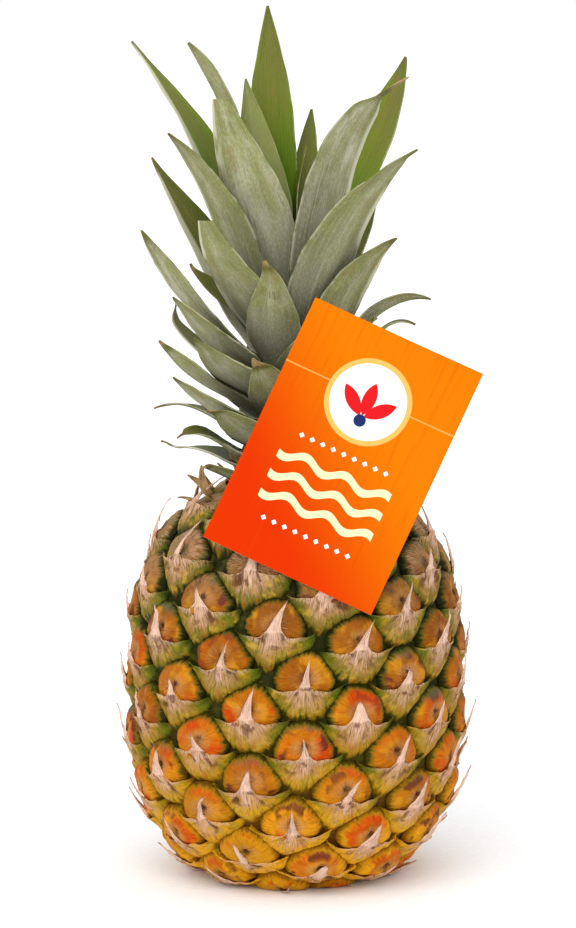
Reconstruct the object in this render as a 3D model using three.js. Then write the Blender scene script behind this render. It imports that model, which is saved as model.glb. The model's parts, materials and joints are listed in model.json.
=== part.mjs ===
// A whole pineapple standing on its cut base, with its leafy crown and a card swing tag.
// Millimetres, +Z up. The origin is on the fruit's axis at the cut base; the front is -Y.

import * as THREE from 'three';

// ---------------------------------------------------------------- fruit body
const FRUIT = {
  waistHeight: 64, // height of the widest ring
  waistRadius: 59.4, // radius there, without the eyes' relief
  upperReach: 78.5, // waist to where the upper curve would close
  upperPower: 2.9,
  lowerReach: 68.5, // waist to where the lower curve would close
  lowerPower: 2.55,
  neckHeight: 141, // flat seat of the crown
  segments: 60,
  rings: 40,
  eyeRelief: 2.6, // how far an eye's dome stands over the grooves
  grooveWidth: 7.5,
};

// The eyes sit on a spiral: each is turned by nearly the golden angle and a little higher.
const EYES = {
  turn: 137.34, // degrees from one eye to the next
  startAzimuth: -104,
  firstRise: 1.5, // how far up the flank the lowest eye sits
  cellArea: 476, // skin that one eye takes up, square millimetres
  rows: 8, // parallel rows that climb to the right
  rowStep: 18.7, // degrees from one eye to the next along a row
  rowSlip: [0, -0.28, -0.52, -0.31, -0.33, -0.49, -0.35, -0.15], // along each row, in eyes
  skew: 5.6, // how much higher the spiral runs on the right than in the middle
};

// ---------------------------------------------------------------- crown
const CROWN = {
  lean: 4.3, // degrees that the crown leans to the left
  seatGap: 1.3, // clears the leaning stem's foot
  stemBottomRadius: 15,
  stemTopRadius: 2.4,
  stemLength: 74,
  firstRoot: 1.9, // height of the lowest leaf's root over the seat
  rootStep: 1.42, // rise from one root to the next
  rootGap: 0.5, // room between the stem and a leaf
};

const LEAF = {
  across: 4,
  along: 8,
  baseThickness: 0.056, // at the root, as a share of the widest width
  tipThickness: 0.6,
  edgeThinning: 0.45, // the margin's share of the thickness lost
  // Outer leaves are short triangles with broad roots, inner ones long blades with narrow roots.
  baseWidth: [1, 0.36], // width at the root, as a share of the widest
  widestAt: [0.1, 0.38], // share of the length from the root
  taperPower: [1.3, 1.9],
  tipWidth: 0.04,
  channelGrowth: 1.5, // radius of the channel once it has opened, over the widest width
  openAt: 0.3, // share of the length where it has opened
  rootHandle: 0.42, // Bezier handles, as a share of the root-to-tip distance
  tipHandle: 0.34,
};

// One row per leaf, from the lowest to the innermost: azimuth of the root and of the tip
// (degrees, 0 is the front, + is to the right), how far the tip stands out from the crown's
// axis, its height over the fruit's base, the widest width, the leaf's lean out of upright at
// the root and at the tip, and its twist.
const LEAVES = [
  [-62, -60, 39, 154, 18, 72, 82, 20],
  [98, 98, 42, 163, 22, 65, 70, -10],
  [-118, -110, 51, 156, 23, 62, 100, 15],
  [12, 14, 35, 163, 23, 60, 60, 0],
  [150, 152, 48, 168, 23, 64, 75, 12],
  [-74, -72, 43, 163, 23, 58, 125, -15],
  [62, 60, 40, 171, 24, 60, 60, 10],
  [-157, -160, 50, 171, 23, 60, 78, 0],
  [-32, -40, 41, 176, 24, 52, 44, 12],
  [117, 120, 50, 176, 22, 60, 80, -12],
  [-104, -100, 50, 172, 22, 54, 110, 10],
  [34, 32, 37, 184, 23, 50, 45, 0],
  [172, 170, 50, 186, 22, 58, 72, 10],
  [-50, -56, 48, 187, 25, 66, 44, -8],
  [78, 88, 47, 196, 21, 40, 122, 6],
  [-138, -140, 52, 192, 22, 56, 72, 0],
  [-8, -14, 38, 193, 23, 40, 20, 8],
  [136, 138, 51, 196, 22, 54, 76, -10],
  [-80, -86, 44.5, 198, 21, 58, 30, 24],
  [52, 52, 40, 202, 22, 45, 46, 0],
  [-170, -168, 50, 213, 21, 50, 66, 8],
  [-42, -48, 41.5, 200, 28, 60, 34, 0],
  [92, 98, 54, 204, 20, 34, 116, -38],
  [-116, -108, 44, 209, 19, 56, 16, 12],
  [20, 22, 34, 204, 21, 36, 34, 0],
  [156, 158, 50, 225, 21, 44, 62, 10],
  [-62, -64, 42, 214, 25, 56, 38, 8],
  [57, 74, 44, 228, 26, 38, 64, -18],
  [-154, -112, 46.5, 262, 21, 40, 28, 24],
  [-18, -6, 30, 225, 21, 24, 18, 0],
  [126, 124, 45, 240, 20, 34, 40, 8],
  [-86, -86, 49, 237, 19, 62, 34, 44],
  [41, 54, 63, 259.5, 28, 25, 66, 0],
  [178, 176, 42, 250, 20, 34, 40, 0],
  [-38, -43, 36, 240, 25, 25, 14, -6],
  [61, 74, 52.5, 285, 30, 18, 66, -16],
  [-64, -74, 37, 271, 27, 17, 42, 14],
  [-146, -96, 31, 224, 10, 46, 20, 30],
  [142, 120, 59, 291, 21, 25, 22, 8],
  [-132, -115, 52, 304, 22, 15, 38, 16],
  [124, 137, 23, 275, 20, 11, 14, 0],
  [176, 184, 13, 232, 8, 11, 8, 0],
  [-19, -44, 23.6, 282, 25, 5, 16, -6],
  [78, 91, 12.5, 263, 13, 9, 20, 32],
  [-116, -84, 26.5, 302, 22, 17, 36, 60],
  [70, 80, 6, 222, 6, 4, 6, 0],
  [186, 167, 12, 313, 17, 3, 8, 2],
  [0, -62, 7.8, 288, 16, 0, 4, 0],
];

const BLUNT_TIPS = { 34: 0.3, 42: 0.24 }; // leaves whose dry tip has broken off, and its width

// ---------------------------------------------------------------- swing tag
const TAG = {
  width: 64,
  height: 92,
  thickness: 0.8,
  center: [16.2, -49.5, 158],
  roll: -25, // degrees in the plane of the card
  tilt: 11, // the top leans back on to the crown
  bow: 1.6, // the card curls this far out of flat
};

const COLORS = {
  skin: 0xb8772c,
  stem: 0xc9c08a,
  outerLeaf: 0x7f8a6c,
  innerLeaf: 0x5f8a3a,
  card: 0xff7a12,
};

const degrees = THREE.MathUtils.degToRad;
const mix = THREE.MathUtils.lerp;

// Radius of the fruit at a height, without the eyes' relief.
function fruitRadius(z) {
  const above = z > FRUIT.waistHeight;
  const reach = above ? FRUIT.upperReach : FRUIT.lowerReach;
  const power = above ? FRUIT.upperPower : FRUIT.lowerPower;
  const share = Math.abs(z - FRUIT.waistHeight) / reach;
  return FRUIT.waistRadius * Math.max(0, 1 - share ** power) ** (1 / power);
}

// Rings of the flank with even spacing along the skin: each has its height, radius and distance.
function flankRings(count) {
  const fineSteps = 2000;
  const fine = [];
  let distance = 0;
  for (let i = 0; i <= fineSteps; i += 1) {
    const z = (FRUIT.neckHeight * i) / fineSteps;
    const radius = fruitRadius(z);
    const last = fine[fine.length - 1];
    if (last) distance += Math.hypot(z - last.z, radius - last.radius);
    fine.push({ z, radius, distance });
  }
  const rings = [];
  for (let i = 0; i <= count; i += 1) {
    const wanted = (distance * i) / count;
    rings.push(fine.find((ring) => ring.distance >= wanted - 1e-9));
  }
  return rings;
}

// Centres of the eyes as azimuth, distance up the flank and the radius there.
function eyeCenters() {
  const rings = flankRings(400);
  const top = rings[rings.length - 1].distance;
  const ringAt = (distance) => rings[Math.min(400, Math.max(0, Math.round((distance / top) * 400)))];
  const centers = [];
  let distance = EYES.firstRise;
  for (let eye = 0; distance < top + EYES.skew; eye += 1) {
    const rise = EYES.cellArea / (2 * Math.PI * ringAt(distance).radius);
    const slip = EYES.rowSlip[(3 * (eye + 1)) % EYES.rows];
    const azimuth = degrees(EYES.startAzimuth + EYES.turn * eye + EYES.rowStep * slip);
    const skew = EYES.skew * Math.sin(azimuth);
    centers.push({ azimuth, distance: distance + EYES.rows * rise * slip + skew });
    distance += rise;
  }
  return centers;
}

// Height of the eyes' relief at a place on the flank: full on a dome, none in the groove.
function eyeRelief(centers, azimuth, distance, radius) {
  let nearest = Infinity;
  let second = Infinity;
  for (const center of centers) {
    const turn = Math.atan2(Math.sin(azimuth - center.azimuth), Math.cos(azimuth - center.azimuth));
    const apart = Math.hypot(radius * turn, distance - center.distance);
    if (apart < nearest) {
      second = nearest;
      nearest = apart;
    } else if (apart < second) {
      second = apart;
    }
  }
  return FRUIT.eyeRelief * THREE.MathUtils.smoothstep(second - nearest, 0, FRUIT.grooveWidth);
}

// The whole fruit as one lathe-turned solid with a flat cut base, raised at every eye.
function fruitGeometry() {
  const rings = flankRings(FRUIT.rings);
  const centers = eyeCenters();
  const profile = [new THREE.Vector2(0, 0)];
  for (const ring of rings) profile.push(new THREE.Vector2(ring.radius, ring.z));
  profile.push(new THREE.Vector2(0, FRUIT.neckHeight));
  const geometry = new THREE.LatheGeometry(profile, FRUIT.segments).rotateX(Math.PI / 2);
  const place = geometry.attributes.position;
  for (let i = 0; i < place.count; i += 1) {
    const ring = rings[(i % profile.length) - 1];
    if (!ring || ring === rings[0] || ring === rings[rings.length - 1]) continue;
    const x = place.getX(i);
    const y = place.getY(i);
    const relief = eyeRelief(centers, Math.atan2(x, -y), ring.distance, ring.radius);
    const scale = (ring.radius + relief) / ring.radius;
    place.setXY(i, x * scale, y * scale);
  }
  return geometry;
}

// Radius of the crown's stem at a height over its foot.
function stemRadius(height) {
  return mix(CROWN.stemBottomRadius, CROWN.stemTopRadius, height / CROWN.stemLength);
}

// The tapered stem that carries the leaves, with a rounded top.
function stemGeometry() {
  const profile = [new THREE.Vector2(0, CROWN.seatGap), new THREE.Vector2(stemRadius(0), CROWN.seatGap)];
  profile.push(new THREE.Vector2(stemRadius(CROWN.stemLength), CROWN.stemLength));
  profile.push(new THREE.Vector2(0, CROWN.stemLength + CROWN.stemTopRadius));
  return new THREE.LatheGeometry(profile, 20).rotateX(Math.PI / 2);
}

// A point at a distance from the crown's axis, on an azimuth and a height over the seat.
function crownPoint(azimuth, reach, height) {
  return new THREE.Vector3(reach * Math.sin(azimuth), -reach * Math.cos(azimuth), height);
}

// The direction that leans out of upright towards an azimuth, both in degrees.
function leaningDirection(azimuth, lean) {
  return crownPoint(degrees(azimuth), Math.sin(degrees(lean)), Math.cos(degrees(lean)));
}

// The middle line of a leaf as a Bezier curve from its root to its tip.
function leafSpine(index) {
  const [rootAzimuth, tipAzimuth, reach, tipHeight, width, rootLean, tipLean] = LEAVES[index];
  const rootHeight = CROWN.firstRoot + CROWN.rootStep * index;
  const rootReach = stemRadius(rootHeight) + CROWN.rootGap + (LEAF.baseThickness * width) / 2;
  const root = crownPoint(degrees(rootAzimuth), rootReach, rootHeight);
  const tip = crownPoint(degrees(tipAzimuth), reach, tipHeight - FRUIT.neckHeight);
  const span = root.distanceTo(tip);
  const out = leaningDirection(rootAzimuth, rootLean);
  const away = leaningDirection(tipAzimuth, tipLean);
  const rootHandle = root.clone().addScaledVector(out, LEAF.rootHandle * span);
  const tipHandle = tip.clone().addScaledVector(away, -LEAF.tipHandle * span);
  return new THREE.CubicBezierCurve3(root, rootHandle, tipHandle, tip);
}

// A value that changes evenly from the lowest leaf to the innermost.
function byLeaf([outer, inner], index) {
  return mix(outer, inner, index / (LEAVES.length - 1));
}

// Half the width of a leaf at a share of its length.
function leafHalfWidth(index, share) {
  const widest = byLeaf(LEAF.widestAt, index);
  const swell = mix(byLeaf(LEAF.baseWidth, index), 1, THREE.MathUtils.smoothstep(share, 0, widest));
  const beyond = Math.max(0, (share - widest) / (1 - widest));
  const taper = 1 - beyond ** byLeaf(LEAF.taperPower, index);
  return (LEAVES[index][4] / 2) * swell * mix(BLUNT_TIPS[index] ?? LEAF.tipWidth, 1, taper);
}

// One leaf: a box bent along its spine, hollowed into a channel that faces the crown's axis.
function leafGeometry(index) {
  const [rootAzimuth, , , , width, , , twist] = LEAVES[index];
  const spine = leafSpine(index);
  const rootReach = stemRadius(CROWN.firstRoot + CROWN.rootStep * index);
  const geometry = new THREE.BoxGeometry(2, 1, 1, LEAF.across, LEAF.along, 1);
  const place = geometry.attributes.position;
  const level = new THREE.Vector3(Math.cos(degrees(rootAzimuth)), Math.sin(degrees(rootAzimuth)), 0);
  for (let i = 0; i < place.count; i += 1) {
    const share = place.getY(i) + 0.5;
    const side = place.getX(i);
    const tangent = spine.getTangent(share);
    const across = level.clone().addScaledVector(tangent, -level.dot(tangent)).normalize();
    across.applyAxisAngle(tangent, degrees(twist) * share);
    const outward = across.clone().cross(tangent);
    const opening = Math.min(1, share / LEAF.openAt);
    const channel = mix(rootReach + 2, LEAF.channelGrowth * width, opening);
    const angle = (side * leafHalfWidth(index, share)) / channel;
    const thickness =
      mix(LEAF.baseThickness * width, LEAF.tipThickness, share) * (1 - LEAF.edgeThinning * side ** 2);
    const radius = channel + place.getZ(i) * thickness;
    const point = spine.getPoint(share);
    point.addScaledVector(across, radius * Math.sin(angle));
    point.addScaledVector(outward, radius * Math.cos(angle) - channel);
    place.setXYZ(i, point.x, point.y, point.z);
  }
  return geometry;
}

// The card of the tag, bowed a little out of flat.
function tagGeometry() {
  const geometry = new THREE.BoxGeometry(TAG.width, TAG.height, TAG.thickness, 6, 8, 1);
  const place = geometry.attributes.position;
  for (let i = 0; i < place.count; i += 1) {
    const x = place.getX(i) / TAG.width;
    const y = place.getY(i) / TAG.height;
    place.setZ(i, place.getZ(i) + TAG.bow * (2 * (x + y) ** 2 - 0.5));
  }
  return geometry.rotateX(Math.PI / 2);
}

// A named mesh with its own material.
function makeMesh(name, geometry, color, roughness) {
  geometry.computeVertexNormals();
  const material = new THREE.MeshStandardMaterial({ color, roughness, metalness: 0 });
  const mesh = new THREE.Mesh(geometry, material);
  mesh.name = name;
  return mesh;
}

// The crown: its stem and leaves, leaning together over the seat.
function makeCrown() {
  const crown = new THREE.Group();
  crown.position.z = FRUIT.neckHeight;
  crown.rotation.y = -degrees(CROWN.lean);
  crown.add(makeMesh('crown_stem', stemGeometry(), COLORS.stem, 0.7));
  const outer = new THREE.Color(COLORS.outerLeaf);
  const inner = new THREE.Color(COLORS.innerLeaf);
  LEAVES.forEach((row, index) => {
    const color = outer.clone().lerp(inner, index / LEAVES.length);
    const name = `leaf_${String(index + 1).padStart(2, '0')}`;
    crown.add(makeMesh(name, leafGeometry(index), color, 0.55));
  });
  return crown;
}

// The tag, leaning its top against the crown over the fruit's shoulder.
function makeTag() {
  const tag = makeMesh('tag', tagGeometry(), COLORS.card, 0.4);
  tag.position.set(...TAG.center);
  tag.rotation.set(-degrees(TAG.tilt), -degrees(TAG.roll), 0, 'XYZ');
  return tag;
}

const pineapple = new THREE.Group();
pineapple.add(makeMesh('fruit', fruitGeometry(), COLORS.skin, 0.5));
pineapple.add(makeCrown());
pineapple.add(makeTag());

export default pineapple;
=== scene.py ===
"""A whole pineapple with its leafy crown and a card swing tag, dressed over its CAD frame.

The formulas work in millimetres and degrees, the meshes in metres. +Z is up, the front is -Y, and
the origin is on the fruit's axis at the cut base. An azimuth of 0 is the front, and + is to the right.
"""

import json
import logging
import math
from dataclasses import dataclass
from enum import Enum
from typing import NamedTuple

import bmesh
import bpy
import numpy as np
from mathutils import Matrix, Vector

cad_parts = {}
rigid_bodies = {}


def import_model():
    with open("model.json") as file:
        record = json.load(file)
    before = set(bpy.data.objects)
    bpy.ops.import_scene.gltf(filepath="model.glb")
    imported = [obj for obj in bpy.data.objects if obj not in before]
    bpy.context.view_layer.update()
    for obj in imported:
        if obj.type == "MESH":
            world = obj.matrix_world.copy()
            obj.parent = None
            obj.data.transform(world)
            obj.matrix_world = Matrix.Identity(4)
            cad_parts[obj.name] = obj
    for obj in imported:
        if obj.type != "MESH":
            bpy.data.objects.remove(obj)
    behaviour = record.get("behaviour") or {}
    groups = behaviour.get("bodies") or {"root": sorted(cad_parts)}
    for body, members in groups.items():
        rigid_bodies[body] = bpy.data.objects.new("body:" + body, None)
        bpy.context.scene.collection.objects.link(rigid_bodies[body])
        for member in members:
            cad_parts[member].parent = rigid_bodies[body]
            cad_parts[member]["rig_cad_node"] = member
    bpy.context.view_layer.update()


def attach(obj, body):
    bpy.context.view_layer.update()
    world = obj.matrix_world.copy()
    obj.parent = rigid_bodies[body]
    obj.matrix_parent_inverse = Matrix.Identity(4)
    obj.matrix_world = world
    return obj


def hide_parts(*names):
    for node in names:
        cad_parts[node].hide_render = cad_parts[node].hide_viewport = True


log = logging.getLogger("pineapple")

MM = 0.001  # a millimetre in metres
BODY = "root"
SHOULDER = 135.0  # the height, in millimetres, where the rind is at its greenest
PIT = (0.05, 0.13)  # where the dried flower's pit lies in a dome, as shares of its reach

# How many millimetres a unit of each kind of coordinates stands for, along its three axes.
METRES = (1000.0, 1000.0, 1000.0)  # the Object coordinates
EYE = (11.0, 11.0, 50.0)  # round an eye's rim, and out from its middle
BRACT = (15.0, 12.0, 12.0)  # across half a bract, up its body and up its tip
LEAF = (11.0, 110.0, 1.0)  # across half a crown leaf and along it
SCALE = (2.2, 11.0, 1.0)  # across half a neck scale and along it
CARD = (1.0, 1.0, 1.0)  # the card's own places, already in millimetres


# ---------------------------------------------------------------- numbers and shapes
def smooth(value: np.ndarray, low: float, high: float) -> np.ndarray:
    """Rises smoothly from 0 where a value is low to 1 where it is high.

    Args:
        value: The values to judge.
        low: Where the rise starts.
        high: Where it ends; it may be under low, for a fall.

    Returns:
        The shares, from 0 to 1.
    """
    share = np.clip((value - low) / (high - low), 0, 1)
    return share * share * (3 - 2 * share)


def mix(low: np.ndarray, high: np.ndarray, share: np.ndarray) -> np.ndarray:
    """A value a share of the way from low to high."""
    return low + (high - low) * share


def ripple(points: np.ndarray, wavelength: float, seed: int) -> np.ndarray:
    """Soft unevenness of about unit height that is the same in each run.

    Args:
        points: Places as an array whose last axis is x, y, z.
        wavelength: Distance between its crests, in the points' unit.
        seed: Chooses another pattern.

    Returns:
        One height for each point.
    """
    draw = np.random.default_rng(seed)
    total = np.zeros(points.shape[:-1])
    waves = 7
    for _ in range(waves):
        direction = draw.normal(size=3)
        direction *= draw.uniform(0.7, 1.4) / np.linalg.norm(direction)
        total += np.cos(points @ direction * (math.tau / wavelength) + draw.uniform(0, math.tau))
    return total / math.sqrt(waves)


def slab_template(columns: int, rows: int) -> bpy.types.Mesh:
    """A flat slab with a grid of faces, the start of every leaf, bract and card.

    Args:
        columns: Faces across, where x runs from -1 to 1.
        rows: Faces along, where y runs from -1 to 1.

    Returns:
        A closed mesh with one layer of vertices on each face, the outer one at the higher z.
    """
    shape = bmesh.new()
    bmesh.ops.create_grid(shape, x_segments=columns, y_segments=rows, size=1.0)
    bmesh.ops.solidify(shape, geom=shape.faces[:], thickness=0.5)
    bmesh.ops.recalc_face_normals(shape, faces=shape.faces[:])
    return to_mesh("slab", shape)


def button_template(segments: int, shares: tuple[float, ...]) -> bpy.types.Mesh:
    """A round closed button, the start of every eye's dome: its top is at z 1 and its back at -1.

    Args:
        segments: Faces round it.
        shares: Where its rings lie, from 0 in the middle to 1 at the rim.

    Returns:
        The closed mesh.
    """
    back_share = 0.7  # the flat back is smaller than the rim
    profile = [(share, 1.0) for share in shares] + [(back_share, -1.0), (0.0, -1.0)]
    return spun("button", profile, segments, 1e-5)


def spun(name: str, profile: list[tuple[float, float]], segments: int, merge: float) -> bpy.types.Mesh:
    """Spins a profile round the Z axis.

    Args:
        name: The mesh's name.
        profile: Radii and heights, from the axis back to the axis.
        segments: Faces round it.
        merge: Vertices closer than this become one.

    Returns:
        The closed mesh.
    """
    shape = bmesh.new()
    line = [shape.verts.new((radius, 0.0, height)) for radius, height in profile]
    edges = [shape.edges.new(pair) for pair in zip(line, line[1:])]
    bmesh.ops.spin(
        shape,
        geom=line + edges,
        cent=(0, 0, 0),
        axis=(0, 0, 1),
        angle=math.tau,
        steps=segments,
        use_merge=True,
    )
    bmesh.ops.remove_doubles(shape, verts=shape.verts[:], dist=merge)
    bmesh.ops.recalc_face_normals(shape, faces=shape.faces[:])
    return to_mesh(name, shape)


def to_mesh(name: str, shape: bmesh.types.BMesh) -> bpy.types.Mesh:
    """Turns a bmesh into a mesh and frees it."""
    mesh = bpy.data.meshes.new(name)
    shape.to_mesh(mesh)
    shape.free()
    return mesh


def to_piece(mesh: bpy.types.Mesh, crease: float) -> bpy.types.Object:
    """Puts a mesh in the scene as an object at the origin.

    Args:
        mesh: The mesh, which gives the object its name.
        crease: Faces that meet at more than this many degrees keep a sharp edge.

    Returns:
        The new object.
    """
    mesh.shade_smooth()
    mesh.set_sharp_from_angle(angle=math.radians(crease))
    piece = bpy.data.objects.new(mesh.name, mesh)
    bpy.context.scene.collection.objects.link(piece)
    return piece


def template_places(template: bpy.types.Mesh) -> np.ndarray:
    """The template's own vertex places, one row each."""
    flat = np.empty(len(template.vertices) * 3)
    template.vertices.foreach_get("co", flat)
    return flat.reshape(-1, 3)


def outer_face(local: np.ndarray) -> np.ndarray:
    """Which of a slab's vertices lie on its outer face."""
    return local[:, 2] > local[:, 2].mean()


def stamp(
    name: str,
    template: bpy.types.Mesh,
    places: np.ndarray,
    marks: dict[str, np.ndarray],
    crease: float = 60.0,
) -> bpy.types.Object:
    """Makes a piece from copies of a template, with each vertex moved to a place of its own.

    Args:
        name: The piece's name.
        template: The mesh that is copied.
        places: Millimetres, an array of copies by vertices by x, y, z.
        marks: Values that the materials read at each vertex, three numbers each.
        crease: Faces that meet at more than this many degrees keep a sharp edge.

    Returns:
        The new object, at the origin.
    """
    shape = bmesh.new()
    for _ in range(len(places)):
        shape.from_mesh(template)
    mesh = to_mesh(name, shape)
    mesh.vertices.foreach_set("co", (places * MM).astype(np.float32).ravel())
    for mark, values in marks.items():
        layer = mesh.attributes.new(mark, "FLOAT_VECTOR", "POINT")
        spread = np.broadcast_to(values, places.shape)
        layer.data.foreach_set("vector", spread.astype(np.float32).ravel())
    shape = bmesh.new()
    shape.from_mesh(mesh)
    bmesh.ops.recalc_face_normals(shape, faces=shape.faces[:])
    shape.to_mesh(mesh)
    shape.free()
    return to_piece(mesh, crease)


class Slot(Enum):
    """The record's material slots."""

    RIND = "fruit_rind"
    STEM = "crown_stem"
    OUTER_LEAF = "leaf_outer"
    INNER_LEAF = "leaf_inner"
    CARD = "tag_card"


def dress(piece: bpy.types.Object, material: bpy.types.Material, slot: Slot, *nodes: str) -> None:
    """Gives a piece its material, its body and the CAD nodes it stands for, and reports it.

    Args:
        piece: The finished object.
        material: What it is made of.
        slot: The record's material slot; not used.
        nodes: CAD nodes that it replaces.
    """
    piece.data.materials.clear()
    piece.data.materials.append(material)
    if "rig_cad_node" not in piece:
        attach(piece, BODY)
    if nodes:
        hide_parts(*nodes)
    log.info("%s: %d faces, %s", piece.name, len(piece.data.polygons), material.name)


# ---------------------------------------------------------------- materials
def linear(colour: str) -> tuple[float, float, float, float]:
    """Turns an sRGB hex value such as #C87A2A into linear red, green, blue and an alpha of 1."""
    parts = [int(colour[i : i + 2], 16) / 255 for i in (1, 3, 5)]
    red, green, blue = [p / 12.92 if p <= 0.04045 else ((p + 0.055) / 1.055) ** 2.4 for p in parts]
    return red, green, blue, 1.0


class Where(NamedTuple):
    """How a coat of colour follows a value: none of it at low, rising smoothly to top at high."""

    value: object
    low: float
    high: float
    top: float = 1.0


class Surface:
    """A material while it is made: its shader, and one way to add the nodes that feed it."""

    def __init__(self, name: str, **values: object) -> None:
        """Starts a material.

        Args:
            name: The material's name.
            values: Shader sockets that are the same all over, with _ for each space.
        """
        self.material = bpy.data.materials.new(name)
        self.material.use_nodes = True
        self.tree = self.material.node_tree
        self.shader = self.tree.nodes["Principled BSDF"]
        for key, value in values.items():
            self.shader.inputs[key.replace("_", " ")].default_value = value
        self.here = self.add("TexCoord").outputs["Object"]
        self.height = self.add("SeparateXYZ", None, {0: self.here}).outputs["Z"]

    def add(self, kind: str, settings: dict | None = None, sockets: dict | None = None) -> bpy.types.Node:
        """Adds a node, with its settings and what goes into it.

        Args:
            kind: The node's type, without the words ShaderNode.
            settings: Its properties; stops gives a colour ramp's places and colours.
            sockets: Input names or numbers, each with a value, a node or a node's output.

        Returns:
            The node.
        """
        node = self.tree.nodes.new("ShaderNode" + kind)
        for key, value in (settings or {}).items():
            if key == "stops":
                while len(node.color_ramp.elements) < len(value):
                    node.color_ramp.elements.new(0.5)
                for element, (place, colour) in zip(node.color_ramp.elements, value):
                    element.position, element.color = place, linear(colour)
            else:
                setattr(node, key, value)
        for key, value in (sockets or {}).items():
            named = [socket for socket in node.inputs if socket.name == key and socket.enabled]
            self.feed(node.inputs[key] if isinstance(key, int) else named[0], value)
        return node

    def feed(self, socket: bpy.types.NodeSocket, value: object) -> None:
        """Links a node or output to an input socket, or sets the socket to a plain value."""
        if isinstance(value, bpy.types.Node):
            value = next(output for output in value.outputs if output.enabled)
        if isinstance(value, bpy.types.NodeSocket):
            self.tree.links.new(value, socket)
        else:
            socket.default_value = linear(value) if isinstance(value, str) else value

    def share(self, *places: Where) -> object:
        """How much of a coat shows where all its values agree.

        Args:
            places: How the coat follows each value.

        Returns:
            The product of the shares.
        """
        total = None
        for value, low, high, top in places:
            ends = (low, high, 0.0, top) if low < high else (high, low, top, 0.0)
            names = ("From Min", "From Max", "To Min", "To Max")
            sockets = {"Value": value} | dict(zip(names, ends))
            rise = self.add("MapRange", {"interpolation_type": "SMOOTHSTEP"}, sockets)
            if total is None:
                total = rise
            else:
                total = self.add("Math", {"operation": "MULTIPLY"}, {0: total, 1: rise})
        return total

    def paint(self, base: object, *coats: tuple) -> object:
        """Lays coats of colour over a base, one after the other.

        Args:
            base: The colour beneath.
            coats: Each a colour and the places where it shows.

        Returns:
            The final colour.
        """
        for colour, *places in coats:
            sockets = {"Factor": self.share(*places), "A": base, "B": colour}
            base = self.add("Mix", {"data_type": "RGBA"}, sockets)
        return base

    def mark(self, name: str) -> tuple[object, ...]:
        """A mark that the mesh carries, as its vector and its three numbers."""
        source = self.add("Attribute", {"attribute_name": name}).outputs["Vector"]
        return source, *self.add("SeparateXYZ", None, {0: source}).outputs

    def pattern(
        self,
        vector: object,
        sizes: tuple[float, float, float],
        detail: float = 3.0,
        units: tuple[float, float, float] = METRES,
    ) -> bpy.types.Node:
        """Unevenness with its own spacing along each axis of a vector.

        Args:
            vector: The coordinates to read.
            sizes: How large its features are along each axis, in millimetres, or 0 for endless ones.
            detail: Finer octaves on top.
            units: How many millimetres a unit of each axis stands for.

        Returns:
            The node, with values near 0.5.
        """
        features = [unit / size if size else 0.0 for unit, size in zip(units, sizes)]
        scaled = self.add("VectorMath", {"operation": "MULTIPLY"}, {0: vector, 1: features})
        return self.add("TexNoise", None, {"Vector": scaled, "Scale": 1.0, "Detail": detail})

    def ripeness(self, *colours: str) -> bpy.types.Node:
        """The rind's colour from the base of the fruit up to its shoulder.

        Args:
            colours: At the base, round the waist, over it and at the shoulder.

        Returns:
            The node with the colour for this height.
        """
        share = self.add("MapRange", None, {"Value": self.height, "From Max": SHOULDER * MM})
        stops = list(zip((0.1, 0.4, 0.63, 0.95), colours))
        return self.add("ValToRGB", {"stops": stops}, {0: share})

    def finish(self, colour: object, rough: object, relief: object, depth: float) -> bpy.types.Material:
        """Feeds the shader its colour, roughness and bumps.

        Args:
            colour: The base colour.
            rough: The roughness.
            relief: Height of the fine relief, from 0 to 1.
            depth: What a relief of 1 stands for, in millimetres.

        Returns:
            The finished material.
        """
        self.feed(self.shader.inputs["Base Color"], colour)
        self.feed(self.shader.inputs["Roughness"], rough)
        bump = self.add("Bump", None, {"Strength": 1.0, "Distance": depth * MM, "Height": relief})
        self.feed(self.shader.inputs["Normal"], bump)
        return self.material


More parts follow.
